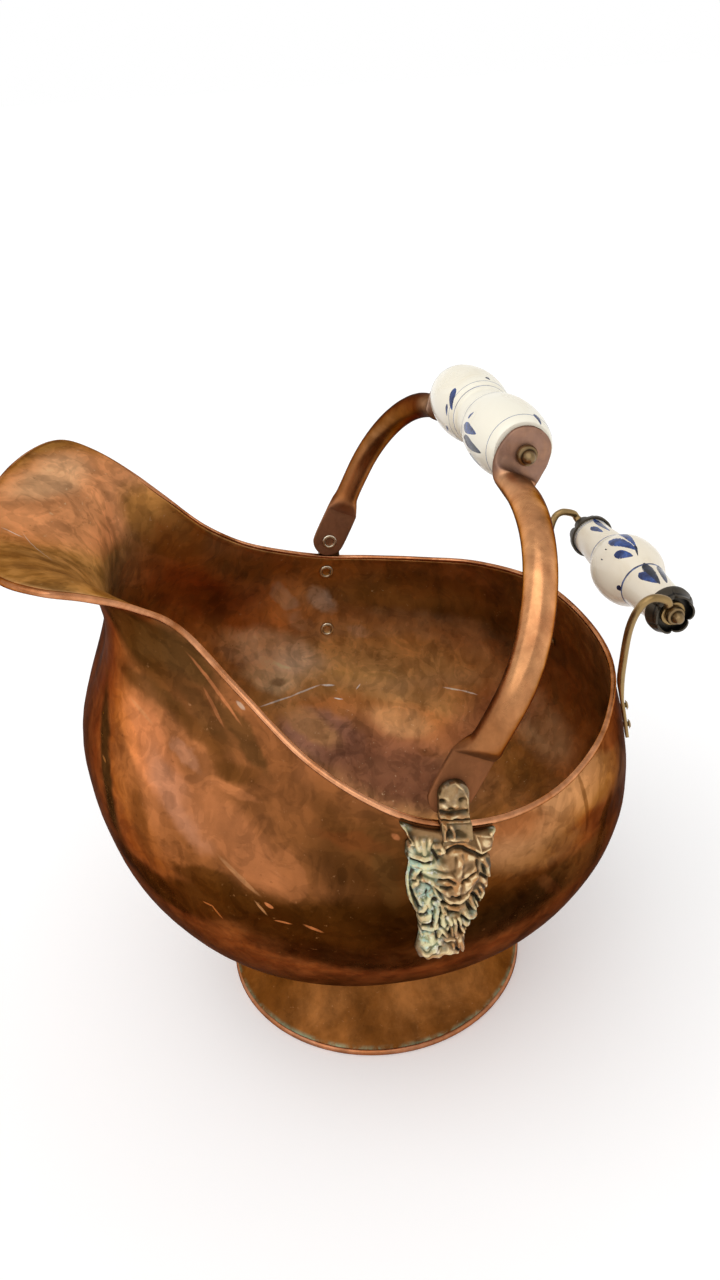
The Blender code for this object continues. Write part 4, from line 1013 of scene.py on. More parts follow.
def arm_sections():
    """Rings along one arm in the bail's frame, from its flat foot up to its flat head."""
    rings = []
    half_plate = ARM_PLATE / 2

    def section(y, z, tilt, half_wide, half_thick, roundness):
        across = Vector((0, math.cos(tilt), math.sin(tilt)))
        centre = Vector((0, y, z))
        shape = squircle(ARM_SIDES, half_wide, half_thick, roundness)
        rings.append([centre + Vector((a, 0, 0)) + across * b for a, b in shape])

    def plate(y, z, radius, share):
        """Section across a round flat end, at a share of its radius above its middle."""
        wide = radius * math.sqrt(1 - share * share)
        section(y, z + radius * share, 0, wide, half_plate, FLAT_ROUND_SHARE)

    for share in reversed(PLATE_SHARES):
        plate(ARM_PLATE_MID, 0, ARM_FOOT_RADIUS, -share)
    section(ARM_PLATE_MID, ARM_FOOT_CREASE, 0, ARM_FOOT_RADIUS, half_plate, FLAT_ROUND_SHARE)
    for share in FOOT_SHARES:
        t = ease(share)
        y = blend(ARM_PLATE_MID, ARM_TUBE_OUT, t)
        z = ARM_FOOT_CREASE + ARM_FOOT_BLEND * share
        wide = blend(ARM_FOOT_RADIUS, ARM_TUBE_RADIUS, t)
        thick = blend(half_plate, ARM_TUBE_RADIUS, ease(share * FOOT_THICK_GAIN))
        roundness = blend(FLAT_ROUND_SHARE, 2, min(1.0, share * FOOT_ROUND_GAIN))
        section(y, z, 0, wide, thick, roundness)
    shoulder_z = BAIL_REACH - ARM_SHOULDER_DROP
    bend_y = HEAD_PLATE_MID + ARM_BEND_RADIUS
    run_y, run_z = ARM_TUBE_OUT - bend_y, shoulder_z - ARM_STRAIGHT
    power = 2 / ARM_ROUND_SHARE
    for k in range(BEND_STEPS + 1):
        angle = math.pi / 2 * k / BEND_STEPS
        c, s = max(math.cos(angle), 0.0), math.sin(angle)
        tilt = math.atan2(run_y * s * c ** (power - 1), run_z * c * s ** (power - 1))
        swell = ease(3 * k / BEND_STEPS - 2)
        wide = blend(ARM_TUBE_RADIUS, NECK_WIDE, swell)
        thick = blend(ARM_TUBE_RADIUS, NECK_THICK, swell)
        section(bend_y + run_y * c ** power, ARM_STRAIGHT + run_z * s ** power, tilt, wide, thick, 2)
    for share in HEAD_SHARES:
        angle = math.pi / 2 * share
        y = bend_y - ARM_BEND_RADIUS * math.sin(angle)
        z = shoulder_z + ARM_BEND_RADIUS * (1 - math.cos(angle))
        wide = blend(NECK_WIDE, ARM_HEAD_RADIUS, ease(share))
        thick = blend(NECK_THICK, half_plate, ease(share))
        section(y, z, math.pi / 2 - angle, wide, thick, blend(2, FLAT_ROUND_SHARE, share))
    for share in PLATE_SHARES:
        plate(HEAD_PLATE_MID, BAIL_REACH, ARM_HEAD_RADIUS, share)
    return rings


def along_y(place, side=1):
    """Frame at a place whose Z axis points along Y, to a side."""
    return Matrix.Translation(place) @ Matrix.Rotation(-side * math.pi / 2, 4, "X")


# Acorn nuts: shares of the radius and of the base's height up the collar, then a dome
NUT_COLLAR = ((0.94, 0), (1, 0.18), (1, 0.62), (0.90, 0.95))
NUT_SIDES = 40
NUT_STEPS = 8
NUT_FOLD = 35
BAIL_DOME_POWER = 1.0
REAR_DOME_POWER = 0.8


def make_nut(name, node, body, start, side, power, look):
    """Acorn nut on a rod's end; a lower power makes a fuller dome."""
    rows = [(0, 0)] + [(NUT_RADIUS * wide, NUT_BASE * high) for wide, high in NUT_COLLAR]
    rows.append((NUT_DOME_RADIUS * 1.08, NUT_BASE * 1.05))
    for k in range(NUT_STEPS + 1):
        angle = math.pi / 2 * k / NUT_STEPS
        wide = NUT_DOME_RADIUS * math.cos(angle) ** power
        rows.append((wide, NUT_BASE * 1.1 + (NUT_DOME - NUT_BASE * 0.1) * math.sin(angle)))
    rows[-1] = (0, rows[-1][1])
    piece(name, turned(rows, NUT_SIDES, along_y(start, side)), body, look, (node,), NUT_FOLD)


# The arms turn dull at their flat ends and dark near the pivot.
TUBE_LOW = 0.035
TUBE_FADE = 0.050
HEAD_DULL_Z = BAIL_REACH - ARM_SHOULDER_DROP * 1.25
HEAD_FADE = ARM_SHOULDER_DROP * 0.5


def make_bail(looks, rod_look, nut_look):
    """Both arms and nuts of the bail; its rod keeps the frame's own shape."""
    rings = refine(arm_sections(), ARM_STEPS)
    dull, lows = [], []
    for ring in rings:
        middle = sum((p.z for p in ring)) / len(ring)
        low = 1 - ease((middle - ARM_FOOT_CREASE) / ARM_FOOT_BLEND)
        high = ease((middle - HEAD_DULL_Z) / HEAD_FADE)
        dull += [max(low, high)] * len(ring)
        lows += [1 - ease((middle - TUBE_LOW) / TUBE_FADE)] * len(ring)
    kept = {"dull": dull, "low": lows}
    for look, (suffix, side) in zip(looks, SIDES):
        shaped = [[BAIL_FRAME @ p for p in ring] for ring in mirrored(rings, side)]
        node = "bail_arm_" + suffix
        piece("bail_tube_" + suffix, skin(shaped), "bail", look, (node,), ARM_FOLD, kept=kept)
        start = BAIL_FRAME @ Vector((0, side * (HEAD_PLATE_MID + ARM_PLATE / 2 + GAP), BAIL_REACH))
        node = "bail_nut_" + suffix
        make_nut("bail_acorn_" + suffix, node, "bail", start, side, BAIL_DOME_POWER, nut_look)
    dress("bail_rod", rod_look)


# Grips. Rows: distance from the middle as a share of the half length, then radius.
GRIP_SIDES = 96
GRIP_FOLD = 50
BULB_MID = (BULB_RADIUS + BULB_WAIST_RADIUS) / 2
BAIL_ROWS = (
    (0.00, BULB_WAIST_RADIUS),
    (0.07, BULB_WAIST_RADIUS),
    (0.10, BULB_WAIST_RADIUS * 1.05),
    (0.16, BULB_WAIST_RADIUS * 1.07),
    (0.20, BULB_MID),
    (0.32, blend(BULB_MID, BULB_RADIUS, 0.62)),
    (0.50, BULB_RADIUS * 0.995),
    (0.66, BULB_RADIUS * 0.985),
    (0.82, blend(BULB_RADIUS, BULB_END_RADIUS, 0.38)),
    (0.94, blend(BULB_RADIUS, BULB_END_RADIUS, 0.8)),
    (1.00, BULB_END_RADIUS * 0.94),
)
REAR_ROWS = (
    (0.00, BULGE_RADIUS),
    (0.10, BULGE_RADIUS * 0.985),
    (0.20, blend(BULGE_NECK_RADIUS, BULGE_RADIUS, 0.78)),
    (0.30, blend(BULGE_NECK_RADIUS, BULGE_RADIUS, 0.42)),
    (0.38, blend(BULGE_NECK_RADIUS, BULGE_RADIUS, 0.12)),
    (0.43, BULGE_NECK_RADIUS),
    (0.62, blend(BULGE_NECK_RADIUS, REAR_END_RADIUS, 0.45)),
    (0.80, REAR_END_RADIUS * 1.01),
    (1.00, REAR_END_RADIUS),
)


def fine_rows(rows, steps=6):
    """Smooth half profile through the rows, level at the middle."""
    points = [Vector((-rows[1][0], rows[1][1]))] + [Vector(row) for row in rows]
    points.append(points[-1] * 2 - points[-2])
    fine = []
    for i in range(1, len(points) - 2):
        for k in range(steps):
            fine.append(spline(*points[i - 1:i + 3], k / steps))
    fine.append(points[-2])
    return fine


def surface_radius(fine, share):
    """Radius of a grip at a share of its half length, to either side."""
    share = abs(share)
    for a, b in zip(fine, fine[1:]):
        if share <= b[0]:
            return blend(a[1], b[1], (share - a[0]) / max(b[0] - a[0], 1e-9))
    return fine[-1][1]


def grip_outline(half, rows):
    """Outline of (radius, distance along) from one end of a grip to the other."""
    outer = [(radius, share * half) for share, radius in fine_rows(rows)]
    return [(radius, -along) for radius, along in outer[:0:-1]] + outer


def make_grip(name, grip, half, rows, centre, look):
    """Grip turned round its rod, with a clear bore."""
    bore = ROD_RADIUS + GRIP_RUN
    profile = grip_outline(half, rows) + [(bore, half), (bore, -half)]
    piece(name, turned(profile, GRIP_SIDES, along_y(centre)), grip, look, (grip,), GRIP_FOLD, centre)


PAINT_LIFT = 0.00006
PAINT_FOLD = 60
BRUSH_COLUMNS = 5
STROKE_STEPS = 14
LINE_STEPS = 96
# A mark is widest at this share of its length, and thins to a point. It is laid on wider than its
# pixels, because its edges are thin.
MARK_WIDEST = 0.34
MARK_SWELL = 1.5
TIP_FLOOR = 0.02
TAPER_POWER = 0.62
POINT_SHARE = 0.06
# A line nearer the middle than this share is painted once, the others at both ends.
MIDDLE_SHARE = 0.08
# Brush marks as they lie under pixels: from the round tip to the pointed end, then the width in pixels.
BAIL_BLUE = (
    (464, 425, 476, 434, 7), (455, 388, 452, 410, 6), (447, 404, 447, 416, 3), (468, 418, 474, 412, 3),
    (534, 414, 541, 425, 4), (447, 426, 448, 431, 3),
)
BAIL_BLACK = (
    (464, 437, 481, 453, 8), (470, 454, 481, 466, 6), (452, 436, 455, 441, 3), (486, 377, 490, 380, 3),
)
REAR_BLUE = (
    (609, 541, 636, 550, 9), (614, 555, 633, 556, 7), (614, 535, 636, 547, 7), (635, 534, 642, 550, 7),
    (652, 544, 645, 553, 6), (591, 527, 603, 532, 5), (594, 519, 610, 531, 5), (639, 573, 657, 583, 7),
)
REAR_BLACK = (
    (635, 545, 638, 556, 2), (608, 523, 614, 530, 4), (644, 563, 660, 584, 7), (659, 566, 667, 583, 6),
    (617, 586, 622, 591, 4), (601, 559, 603, 560, 1), (605, 549, 607, 550, 1),
)
# Lines round the grips: a pixel that each crosses, its width in millimetres and whether it is dark
BAIL_LINES = (
    (456, 406, 0.7, True), (471, 405, 0.3, False), (488, 441, 0.45, False),
)
REAR_LINES = (
    (586, 523, 0.6, False), (598, 543, 0.7, False), (632, 570, 0.8, True), (662, 590, 0.5, False),
)


class Brush:
    """Paints on one grip: knows its outline, its place and where sight lines meet it."""

    def __init__(self, half, rows, centre):
        self.half = half
        self.centre = centre
        self.fine = fine_rows(rows)
        outline = [(0, -half)] + grip_outline(half, rows) + [(0, half)]
        self.tree = tree_of(turned(outline, GRIP_SIDES, along_y(centre)))

    def spot(self, px, py):
        """Angle and share along of the place under a pixel."""
        hit, _ = seen(self.tree, px, py)
        if hit is None:
            return None
        off = hit - self.centre
        return math.atan2(off.z, off.x), off.y / self.half

    def mark(self, bm, start, end, width, turn, flip):
        """Teardrop from a round tip to a point; flip lays it on the other half of the grip."""
        path, widths = [], []
        if abs(end[0] - start[0]) > math.pi:
            end = (end[0] + math.copysign(TURN, start[0] - end[0]), end[1])
        for k in range(STROKE_STEPS + 1):
            t = k / STROKE_STEPS
            angle, along = blend(start[0], end[0], t), blend(start[1], end[1], t)
            path.append((angle + turn, -along if flip else along))
            round_share = math.sqrt(max(1 - ((MARK_WIDEST - t) / MARK_WIDEST) ** 2, TIP_FLOOR))
            thin_share = ((1 - t) / (1 - MARK_WIDEST)) ** TAPER_POWER
            widths.append(width * (round_share if t < MARK_WIDEST else max(thin_share, POINT_SHARE)))
        self.sweep(bm, path, widths)

    def line(self, bm, along, width):
        """Uneven line right round the grip."""
        path = [(TURN * k / LINE_STEPS, along) for k in range(LINE_STEPS + 1)]
        waves = [noise.noise(Vector((k * 0.3, along * 9, 0))) for k in range(LINE_STEPS + 1)]
        self.sweep(bm, path, [width * (0.85 + 0.3 * wave) for wave in waves])

    def sweep(self, bm, path, widths):
        """Strip of paint along a path of (angle, share along), thinnest at its edges."""
        rows = []
        for i, ((angle, along), width) in enumerate(zip(path, widths)):
            before, after = path[max(i - 1, 0)], path[min(i + 1, len(path) - 1)]
            radius = surface_radius(self.fine, along)
            turn, shift = after[0] - before[0], after[1] - before[1]
            run = Vector((turn * radius, shift * self.half)).normalized()
            side = Vector((-run.y, run.x))
            row = []
            for k in range(BRUSH_COLUMNS):
                off = (k / (BRUSH_COLUMNS - 1) - 0.5) * width
                a, u = angle + side.x * off / radius, along + side.y * off / self.half
                lift = PAINT_LIFT * (1 - (2 * k / (BRUSH_COLUMNS - 1) - 1) ** 4)
                r = surface_radius(self.fine, u) + lift
                spot = Vector((r * math.cos(a), u * self.half, r * math.sin(a)))
                row.append(bm.verts.new(self.centre + spot))
            rows.append(row)
        for low, high in zip(rows, rows[1:]):
            strip(bm, low, high)


def paint_grip(grip, half, rows, centre, blue_marks, black_marks, lines, looks):
    """Marks and lines of one grip, each kind as a piece of its own."""
    blue, black, pale = looks
    brush = Brush(half, rows, centre)
    for label, marks, look in (("blue", blue_marks, blue), ("black", black_marks, black)):
        bm = bmesh.new()
        for x0, y0, x1, y1, width in marks:
            start, end = brush.spot(x0, y0), brush.spot(x1, y1)
            if start and end:
                wide = pixel_length(centre, width * MARK_SWELL)
                for turn, flip in ((0.0, False), (math.pi, True)):
                    brush.mark(bm, start, end, wide, turn, flip)
        painted = piece("%s_marks_%s" % (grip, label), bm, grip, look, (), PAINT_FOLD, centre)
    for label, chosen, look in (("dark", True, blue), ("pale", False, pale)):
        bm = bmesh.new()
        for px, py, width, dark in lines:
            place = brush.spot(px, py)
            if dark == chosen and place:
                brush.line(bm, place[1], width * MILLIMETRE)
                if abs(place[1]) > MIDDLE_SHARE:
                    brush.line(bm, -place[1], width * MILLIMETRE)
        painted = piece("%s_lines_%s" % (grip, label), bm, grip, look, (), PAINT_FOLD, centre)


# Lion masks. Their outlines: down as a share of the height, then across in shares of the half width.
MASK_ACROSS = 0.022
MASK_TALL = 0.066
MASK_END_Z = MASK_BOTTOM_Z - 0.0022
MASK_DRIFT = 0.0070
MASK_LAST = 1.03
LEFT_SHARES = (
    (0.00, -1.06), (0.04, -0.96), (0.08, -0.88), (0.12, -0.95), (0.18, -0.95), (0.22, -0.88),
    (0.35, -0.92), (0.45, -0.88), (0.55, -0.75), (0.62, -0.64), (0.72, -0.58), (0.78, -0.54),
    (0.93, -0.56), (1.03, -0.46),
)
RIGHT_SHARES = (
    (0.00, 0.82), (0.10, 0.77), (0.15, 0.66), (0.20, 0.76), (0.27, 0.80), (0.35, 0.78), (0.45, 0.74),
    (0.55, 0.68), (0.62, 0.62), (0.70, 0.50), (0.80, 0.43), (0.88, 0.47), (1.03, 0.50),
)
# Broad forms of the relief as they lie under pixels: place, half sizes in pixels, rise in millimetres
MASK_FORMS = (
    (458, 885, 22, 40, 2.4), (460, 864, 17, 12, 1.2), (447, 884, 3.0, 1.8, 0.9),
    (444, 881, 4.2, 1.8, -1.3), (468, 881, 3.4, 1.7, -1.2), (456, 891, 5.0, 3.4, 1.6),
    (453, 914, 5.0, 3.0, -1.2), (435, 902, 2.4, 1.8, -2.4), (443, 937, 1.8, 1.6, -1.3),
    (440, 941, 2.0, 1.6, -1.8), (449, 945, 4.0, 2.2, -1.9), (487, 844, 8.0, 7.0, 1.6),
    (487, 844, 4.5, 4.5, 0.7), (418, 852, 12, 9, 1.2), (424, 868, 14, 6, 1.0), (443, 950, 22, 8, 1.0),
    (440, 925, 24, 14, 0.8),
)
# Ridges of the relief: half width in pixels, rise in millimetres, then the pixels that each runs through
MASK_RIDGES = (
    (4.6, 1.4, 424, 873, 436, 875, 448, 877, 456, 881),
    (3.6, 1.4, 424, 881, 432, 885, 440, 890, 447, 894, 453, 895),
    (3.4, 1.6, 443, 897, 448, 901, 453, 903, 459, 902), (2.6, 1.5, 458, 902, 463, 899, 466, 896),
    (5.0, 1.2, 460, 862, 458, 876, 456, 886), (3.4, 1.1, 465, 875, 471, 873, 476, 870),
    (3.0, 1.6, 464, 890, 470, 884, 477, 876), (2.4, 1.1, 466, 898, 470, 891, 474, 883),
    (2.6, 1.4, 450, 907, 457, 909), (1.9, 1.6, 440, 904, 444, 909, 446, 914),
    (2.4, 2.2, 411, 856, 417, 858, 424, 860, 431, 860), (2.8, 1.0, 408, 846, 414, 855),
    (3.0, 0.9, 416, 843, 420, 851), (2.8, 1.0, 424, 844, 425, 855), (2.4, 1.0, 431, 843, 429, 850),
    (2.4, 1.9, 435, 848, 441, 848, 444, 852, 441, 855), (2.0, 1.2, 405, 842, 405, 844),
    (1.9, 2.2, 410, 864, 407, 876, 407, 886, 409, 894, 411, 902, 414, 908, 417, 911),
    (4.4, 1.4, 413, 865, 424, 867, 436, 865, 444, 869), (2.8, 1.7, 420, 870, 415, 876, 414, 880),
    (2.8, 1.6, 418, 884, 413, 890), (2.4, 1.3, 414, 893, 419, 903, 421, 907),
    (2.2, 1.4, 431, 884, 436, 892, 441, 900), (2.3, 1.6, 435, 904, 438, 906),
    (2.8, 1.5, 431, 896, 428, 904, 431, 910), (3.0, 1.2, 419, 896, 425, 889),
    (2.8, 1.7, 419, 912, 423, 913, 426, 908), (3.0, 2.1, 420, 921, 426, 919, 431, 915),
    (2.0, 1.4, 421, 926, 427, 923, 431, 921), (2.4, 1.7, 424, 929, 429, 930, 433, 929),
    (2.0, 1.2, 418, 933, 422, 937), (2.2, 1.9, 438, 909, 437, 916, 436, 922, 435, 928),
    (2.9, 1.7, 436, 925, 436, 928), (1.7, 1.1, 432, 908, 434, 914),
    (1.9, 1.7, 442, 908, 444, 914, 441, 918), (3.0, 1.9, 443, 918, 444, 926),
    (2.1, 1.7, 447, 918, 451, 922, 449, 930), (2.4, 1.9, 442, 931, 439, 937),
    (2.1, 1.7, 442, 931, 447, 936), (2.3, 1.7, 455, 921, 457, 926, 455, 932, 457, 937),
    (1.9, 1.3, 452, 930, 453, 936), (1.9, 1.7, 459, 919, 461, 926, 464, 932),
    (2.3, 1.3, 464, 936, 465, 942), (2.4, 1.9, 484, 861, 488, 868, 489, 875),
    (2.8, 1.9, 485, 883, 488, 887), (1.9, 1.6, 481, 888, 484, 893, 482, 898),
    (1.7, 1.3, 477, 892, 480, 898), (1.9, 2.1, 470, 898, 472, 903, 475, 908),
    (1.7, 1.3, 477, 903, 479, 908), (1.9, 1.5, 483, 901, 482, 910),
    (2.4, 2.2, 465, 913, 469, 917, 473, 917, 476, 913), (1.9, 1.5, 478, 912, 480, 918),
    (2.6, 1.9, 466, 925, 470, 923, 475, 920), (2.1, 1.1, 467, 930, 472, 928),
    (4.4, 2.6, 431, 937, 431, 942, 427, 948), (4.0, 2.2, 424, 954, 430, 954, 436, 951),
    (2.6, 2.3, 428, 961, 436, 957, 443, 954, 449, 951, 456, 953, 463, 956),
    (2.0, 1.4, 441, 946, 440, 942), (2.6, 1.7, 447, 941, 454, 941),
    (3.4, 2.4, 461, 941, 463, 947, 465, 953), (1.5, 1.5, 459, 940, 459, 947),
    (1.8, 1.3, 454, 947, 454, 949), (1.6, 1.5, 397, 827, 403, 829, 407, 834, 409, 840, 413, 844),
    (1.3, 1.1, 408, 846, 414, 846), (1.3, 0.8, 470, 848, 483, 855, 496, 848),
    (1.1, 0.5, 477, 837, 483, 855), (1.1, 0.5, 477, 837, 494, 838, 496, 848),
    (1.5, 1.3, 493, 836, 499, 830), (2.2, 0.8, 444, 850, 450, 847, 458, 843, 464, 845),
    (1.8, 0.6, 460, 843, 467, 847, 472, 850),
)
MASK_FURROWS = (
    (1.8, -0.7, 463, 856, 462, 876), (1.6, -0.5, 456, 858, 454, 870),
    (1.9, -2.2, 441, 880, 448, 879, 454, 882), (1.4, -1.3, 441, 888, 447, 889, 451, 887),
    (2.2, -1.5, 428, 886, 436, 891, 441, 896, 445, 901),
    (2.2, -3.2, 443, 903, 449, 905, 456, 906, 465, 904), (1.6, -1.9, 452, 896, 459, 897),
    (1.9, -2.3, 463, 882, 468, 878, 476, 873), (1.6, -2.1, 412, 860, 420, 863, 429, 863),
    (1.4, -1.3, 433, 852, 438, 860), (1.8, -1.2, 440, 857, 443, 855), (1.3, -1.0, 421, 872, 421, 880),
    (1.4, -1.3, 414, 883, 420, 884), (1.4, -1.6, 411, 890, 415, 900, 420, 909),
    (1.3, -0.8, 427, 890, 427, 904), (1.3, -1.5, 421, 917, 428, 915), (1.2, -1.5, 423, 926, 432, 927),
    (1.4, -1.5, 433, 913, 433, 921, 431, 927), (1.7, -1.9, 441, 927, 448, 927),
    (1.3, -1.4, 440, 914, 440, 925), (1.5, -1.5, 437, 939, 436, 932), (1.4, -1.5, 450, 926, 450, 934),
    (1.3, -1.9, 458, 922, 459, 930, 462, 935), (1.7, -1.3, 478, 862, 478, 876),
    (1.4, -1.0, 484, 866, 486, 875), (1.5, -1.7, 481, 876, 487, 880),
    (1.5, -1.9, 471, 893, 477, 898, 480, 905), (1.8, -1.9, 467, 904, 471, 910),
    (1.5, -1.9, 463, 917, 468, 921), (1.4, -1.5, 463, 927, 470, 928),
    (1.3, -2.4, 430, 957, 435, 953, 441, 948), (1.2, -1.8, 457, 950, 463, 954),
    (1.9, -2.0, 470, 852, 482, 858, 495, 853),
    (2.6, -1.9, 448, 853, 455, 849, 463, 849, 470, 853, 479, 858), (1.2, -1.2, 421, 908, 418, 914),
    (1.3, -1.2, 431, 932, 424, 934), (1.3, -1.3, 445, 909, 449, 914, 458, 914),
)
# Where patina is kept: place, half sizes in pixels, amount
PATINA_FORMS = (
    (424, 852, 18, 12, 0.75), (420, 868, 20, 8, 1.0), (408, 885, 5, 25, 0.95), (428, 895, 14, 14, 1.0),
    (432, 918, 16, 16, 0.75), (447, 925, 14, 10, 0.55), (430, 942, 10, 8, 1.7),
    (477, 905, 14, 16, 0.45), (470, 920, 12, 8, 0.55), (402, 830, 8, 5, 1.0), (432, 878, 12, 6, 0.5),
    (443, 952, 22, 8, 0.3), (486, 868, 8, 12, 0.35), (496, 832, 5, 5, 0.7),
)
HOOK_FORMS = (
    (453, 795, 12, 14, 1.2), (443, 803, 3.2, 2.6, -1.8), (462, 801, 3.2, 2.4, -1.4),
    (456, 807, 3.4, 2.6, 1.2), (452, 811, 3.0, 2.0, -1.4), (454, 836, 14, 4, -0.7),
)
HOOK_RIDGES = (
    (1.3, 0.6, 437, 814, 437, 800, 440, 790, 447, 784, 456, 784, 463, 790, 468, 800, 469, 814),
    (1.8, 0.4, 462, 792, 467, 798), (2.0, 1.9, 438, 817, 452, 818, 469, 817),
    (2.6, 0.9, 445, 808, 446, 809), (2.6, 1.0, 464, 807, 466, 808),
    (1.6, 1.4, 445, 825, 447, 831, 445, 840), (1.5, 1.3, 452, 829, 455, 835, 455, 840),
    (1.6, 0.9, 439, 823, 469, 822), (2.0, 1.3, 439, 841, 468, 841),
)
HOOK_FURROWS = (
    (1.1, -0.8, 440, 796, 443, 788, 449, 786), (1.7, -1.3, 441, 813, 450, 815, 467, 812),
    (1.1, -1.5, 437, 821, 470, 821), (2.2, -1.0, 441, 835, 443, 840), (2.2, -1.0, 449, 833, 450, 840),
    (2.6, -0.6, 459, 834, 466, 838),
)
PATINA_LOSS = 0.12
MASK_COLUMNS = 130
MASK_ROWS = 200
MASK_FACE = 0.0030
MASK_FLOOR = MASK_FACE * 0.3
RELIEF_FOLD = 60
# Height over the wall at which a place of the mask is taken to be seen
SIGHT_LIFT = 0.0050
# The face rounds off within this distance of its outline.
EDGE_FALL = 0.0011
EDGE_SHARE = 0.04
SIDE_LIMIT = CAD_BOX[1].y - GAP / 2
# Hollow values: level ground, the backs, and how strongly depth counts
LEVEL_HOLLOW = 0.4
BACK_HOLLOW = 0.7
HOLLOW_GAIN = 0.72
BLUR_ROUNDS = 28
# Shape of the ridges and furrows, and the slow waves that vary the ridges
FURROW_SHARE = 0.75
RIDGE_ROUND = 2.0
RIDGE_WAVE = 0.4
WAVE_ACROSS = 0.33
WAVE_DOWN = 0.19


def bound_share(rows, down):
    """Where an outline lies at a share of the way down."""
    for (d0, w0), (d1, w1) in zip(rows, rows[1:]):
        if down <= d1:
            return blend(w0, w1, ease((down - d0) / (d1 - d0)))
    return rows[-1][1]


def form_sum(x, y, forms):
    """Sum of round swellings, each with its middle, half sizes and rise."""
    total = np.zeros_like(x)
    for cx, cy, wide, tall, rise in forms:
        total += rise * np.exp(-((x - cx) / wide) ** 2 - ((y - cy) / tall) ** 2)
    return total


def line_gap(x, y, path):
    """Distance of each place from a broken line, in pixels."""
    best = np.full_like(x, IMAGE_WIDTH)
    for (x0, y0), (x1, y1) in zip(path, path[1:]):
        dx, dy = x1 - x0, y1 - y0
        share = np.clip(((x - x0) * dx + (y - y0) * dy) / (dx * dx + dy * dy), 0, 1)
        best = np.minimum(best, np.hypot(x - x0 - dx * share, y - y0 - dy * share))
    return best


def raised(x, y, forms, ridges, furrows):
    """Height of a relief in millimetres over places given by their pixels."""
    top, low = np.zeros_like(x), np.zeros_like(x)
    for half, rise, *path in ridges:
        gap = line_gap(x, y, list(zip(path[::2], path[1::2])))
        top = np.maximum(top, rise * np.exp(-(gap / half) ** RIDGE_ROUND))
    for half, rise, *path in furrows:
        gap = line_gap(x, y, list(zip(path[::2], path[1::2])))
        low = np.minimum(low, FURROW_SHARE * rise * np.exp(-(gap / half) ** 2))
    slope, cross = x * WAVE_ACROSS + y * WAVE_DOWN, y * WAVE_ACROSS - x * WAVE_DOWN
    wave = 1 + RIDGE_WAVE * np.sin(slope) * np.sin(cross)
    return form_sum(x, y, forms) + top * wave + low


def hollow_values(height):
    """How deep each place lies below those around it, in one list."""
    soft = height.copy()
    for k in range(BLUR_ROUNDS):
        wide = np.pad(soft, 1, mode="edge")
        soft = (wide[:-2, 1:-1] + wide[2:, 1:-1] + wide[1:-1, :-2] + wide[1:-1, 2:] + soft) / 5
    return list(np.clip(LEVEL_HOLLOW + (soft - height) * HOLLOW_GAIN, 0, 1).flatten())


def mask_top(x):
    """Height of the mask's upper edge, under the rim's bead."""
    return rim_at_x(x).z - RIM_BEAD_RADIUS - RIM_SEAT - GAP


def mask_middle(down):
    """Middle of the mask at a share of the way down, as it leans."""
    return PIVOT.x - MASK_OFFSET - MASK_LEAN * down


def mask_grid():
    """Back and front places, hollow values and patina of one mask; its Y is outward."""
    shape = (MASK_ROWS + 1, MASK_COLUMNS + 1)
    px, py, edges = np.zeros(shape), np.zeros(shape), np.zeros(shape)
    tall = MASK_TALL / MASK_ROWS
    seats, normals = [], []
    for j in range(MASK_ROWS + 1):
        d = MASK_LAST * j / MASK_ROWS
        left, right = bound_share(LEFT_SHARES, d), bound_share(RIGHT_SHARES, d)
        seat_row, normal_row = [], []
        for i in range(MASK_COLUMNS + 1):
            a = blend(left, right, i / MASK_COLUMNS)
            x = PIVOT.x - MASK_DRIFT * d + a * MASK_ACROSS
            z = blend(mask_top(x), MASK_END_Z, d / MASK_LAST)
            y, normal = wall_y(x, z)
            seat = Vector((x, y, z)) + normal * GAP
            front = seat + normal * SIGHT_LIFT
            px[j, i], py[j, i] = pixel_of(Vector((front.x, -front.y, front.z)))
            edge = min(i, MASK_COLUMNS - i) * (right - left) / MASK_COLUMNS * MASK_ACROSS
            edges[j, i] = min(edge, j * tall + EDGE_FALL * 0.5, (MASK_ROWS - j) * tall)
            seat_row.append(seat)
            normal_row.append(normal)
        seats.append(seat_row)
        normals.append(normal_row)
    height = raised(px, py, MASK_FORMS, MASK_RIDGES, MASK_FURROWS)
    fall = np.sqrt(np.minimum(1.0, edges / EDGE_FALL + EDGE_SHARE))
    deep = np.maximum(MASK_FACE + height * MILLIMETRE, MASK_FLOOR) * fall
    fronts = []
    for j, (seat_row, normal_row) in enumerate(zip(seats, normals)):
        row = []
        for i, (seat, normal) in enumerate(zip(seat_row, normal_row)):
            face = seat + normal * deep[j, i]
            face.y = min(face.y, SIDE_LIMIT)
            row.append(face)
        fronts.append(row)
    patina = np.clip(form_sum(px, py, PATINA_FORMS) - PATINA_LOSS, 0, 1)
    return seats, fronts, hollow_values(height), list(patina.flatten())


def closed_relief(backs, fronts, side):
    """Closed mesh between two grids of places, mirrored to a side."""
    bm = bmesh.new()
    back = [[bm.verts.new(p) for p in row] for row in mirrored(backs, side)]
    front = [[bm.verts.new(p) for p in row] for row in mirrored(fronts, side)]
    for grid in (back, front):
        for low, high in zip(grid, grid[1:]):
            strip(bm, low, high)
    for end in (0, -1):
        strip(bm, back[end], front[end])
    for end in (0, -1):
        strip(bm, [row[end] for row in back], [row[end] for row in front])
    return bm


# Hooks over the rim, each in one piece with the tab that carries the pivot
HOOK_COLUMNS = 60
HOOK_ROWS = 130
# The sheet of the hook ends where it meets the mask.
HOOK_END_Z = HOOK_LOW_Z + 0.0053
HOOK_LIP_SHARE = 0.3
